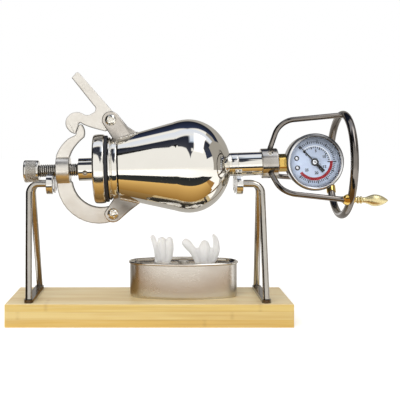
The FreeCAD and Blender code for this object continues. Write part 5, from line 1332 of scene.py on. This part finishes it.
def burner_can():
    """The tin's wall and bottom, and a rolled rim that is painted dark underneath, a painted shade."""
    floor = BOARD_TOP + TIN_WALL
    wall = soften([(0.6, BOARD_TOP), (0.0, BOARD_TOP + 1.6), (0.0, TIN_TOP - 2.0),
                   (0.0, TIN_TOP - 1.0)], (0.0, 0.8, 0.3, 0.0))
    profile = [(None, BOARD_TOP), (3.0, BOARD_TOP), *wall.tolist(), (TIN_WALL, TIN_TOP - 1.0),
               (TIN_WALL, floor), (None, floor)]
    piece("oval_can", [oval_turned(profile)], "tin_plate", "burner",
          ["burner_tin"])
    turn, size = full_turn(20), 1.2
    roll = np.stack([-0.2 - size * np.cos(turn), TIN_TOP - size + size * np.sin(turn)], -1)
    # painted shade under the rolled rim
    painted_dark = np.repeat(np.clip(-np.sin(turn) - 0.35, 0, 0.6) * 1.5, len(oval(0.0, 0.0)))
    piece("rolled_rim", [oval_turned(roll.tolist(), closed=True)], "bright_tin", "burner",
          painted_shade=painted_dark)


def burner_top():
    """The sunk plate with its two wick collars."""
    low, under = TOP_PLATE_Z - 0.5, TOP_PLATE_Z - 0.8
    top = soften([(TIN_WALL, TOP_PLATE_Z + 1.6), (TIN_WALL + 0.8, TOP_PLATE_Z),
                  (4.4, TOP_PLATE_Z), (5.2, low), (12.0, low)], (0, 0.7, 0.4, 0.4, 0))
    section = [*top.tolist(), (None, low), (None, under), (12.0, under), (TIN_WALL, under)]
    piece("sunk_top", [oval_turned(section, closed=True)], "bright_tin", "burner",
          ["burner_top"])
    collar = soften([(-12.0, 3.7), (-12.0, 4.6), (-0.4, 4.6), (-0.4, 8.5), (0.3, 8.5),
                     (1.7, 6.2), (2.0, 4.9), (2.6, 4.6), (2.6, 3.7)],
                    (0, 0, 0, 0.2, 0.5, 1.2, 0.5, 0.3, 0.2), closed=True)
    holders = [turned(collar, np.array((x, 0, TOP_PLATE_Z)) * MM, UPRIGHT, SIDE, 72, True)
               for x in WICK_X]
    piece("wick_collars", holders, "collar_tin", "burner", ["wick_holders"])


def strand(x, y, root, middle, tip, sizes, squeeze=0.62):
    """A lobe of cotton at (x, y) along the arc through three points (sideways, up): its radius
    follows five sizes from root to tip, and closes over its last tenth as a circle does."""
    count = 44
    line = arc(root, middle, tip, count)
    share = np.linspace(0, 1, count)
    size = np.interp(share, (0, 0.25, 0.5, 0.75, 1.0), sizes)
    size = size * np.sqrt(np.clip(1 - np.clip((share - 0.9) / 0.1, 0, 1) ** 2, 0.002, 1))
    base = TOP_PLATE_Z + 2.0
    path = np.stack([x + line[:, 0], np.full(count, y), base + line[:, 1]], -1) * MM
    return swept(path, size, 40, squeeze)


def wicks():
    """Cotton wicks: each is a few swollen lobes that grow out of one holder and curl apart."""
    left, right = WICK_X
    for side, x, lobes in (
            ("left", left, (
                (-1.0, (-4.4, -1.5), (-5.6, 9.0), (-10.2, 24.6), (3.0, 2.6, 2.4, 2.4, 2.3)),
                (0.4, (0.2, -1.5), (-0.4, 10.0), (-0.8, 22.6), (4.8, 5.2, 5.0, 4.4, 3.4), 0.8),
                (-0.8, (3.4, -1.0), (6.4, 10.0), (5.8, 23.0), (3.8, 4.1, 4.0, 3.6, 2.8)),
                (3.0, (1.0, 0.0), (3.0, 8.0), (2.2, 17.5), (3.0, 3.2, 3.0, 2.6, 1.8), 0.7),
                (0.2, (-2.6, -1.5), (-3.6, 7.0), (-4.4, 15.5), (3.8, 4.0, 3.8, 3.2, 2.4), 0.9))),
            ("right", right, (
                (-1.4, (-4.6, -1.0), (-10.6, 9.4), (-20.4, 20.0), (4.2, 3.8, 3.7, 4.2, 3.2)),
                (0.4, (-0.5, -1.5), (0.0, 8.0), (0.6, 19.6), (6.2, 7.2, 6.8, 5.2, 2.6), 0.8),
                (-0.9, (4.8, -1.0), (11.2, 11.0), (8.2, 25.4), (4.2, 3.9, 3.5, 2.8, 1.5)),
                (3.2, (1.0, 0.0), (4.2, 7.0), (3.6, 14.0), (3.4, 3.8, 3.4, 2.6, 1.6), 0.7),
                (0.4, (-2.6, -1.5), (-4.8, 6.0), (-7.6, 12.2), (4.6, 5.2, 5.0, 4.4, 3.2), 0.9),
                (0.2, (2.8, -1.5), (5.6, 5.6), (8.4, 12.4), (4.6, 5.0, 4.6, 3.8, 2.6), 0.9)))):
        piece(f"{side}_cotton_wick", [strand(x, *lobe) for lobe in lobes], "cotton", "burner",
              [f"{side}_wick"], sharp=80)


def finish_cad_nodes():
    """Give every CAD node the finish of its slot, and the hub and the foot strips their own."""
    finish_of = {row["node"]: row["material_slot"] for row in frame["record"]["subparts"]}
    finish_of.update(hub_collar="hub_steel", foot_strips="strip_steel")
    for name, node in nodes.items():
        node.data.materials.clear()
        node.data.materials.append(FINISH[finish_of[name]])


bpy.context.scene.view_settings.view_transform = "Standard"
for make in (set_camera, set_world, set_studio, finish_cad_nodes, legs, rollers, pressure_bottle,
             mouth_flange, neck, lid, clamp_screw, screw_knob, hand_wheel, crank_grip,
             latch_lever, yoke, ears, pivot_screws, weld_beads, gauge_shell, dial_print, needle,
             dial_pins, burner_can, burner_top, wicks):
    make()
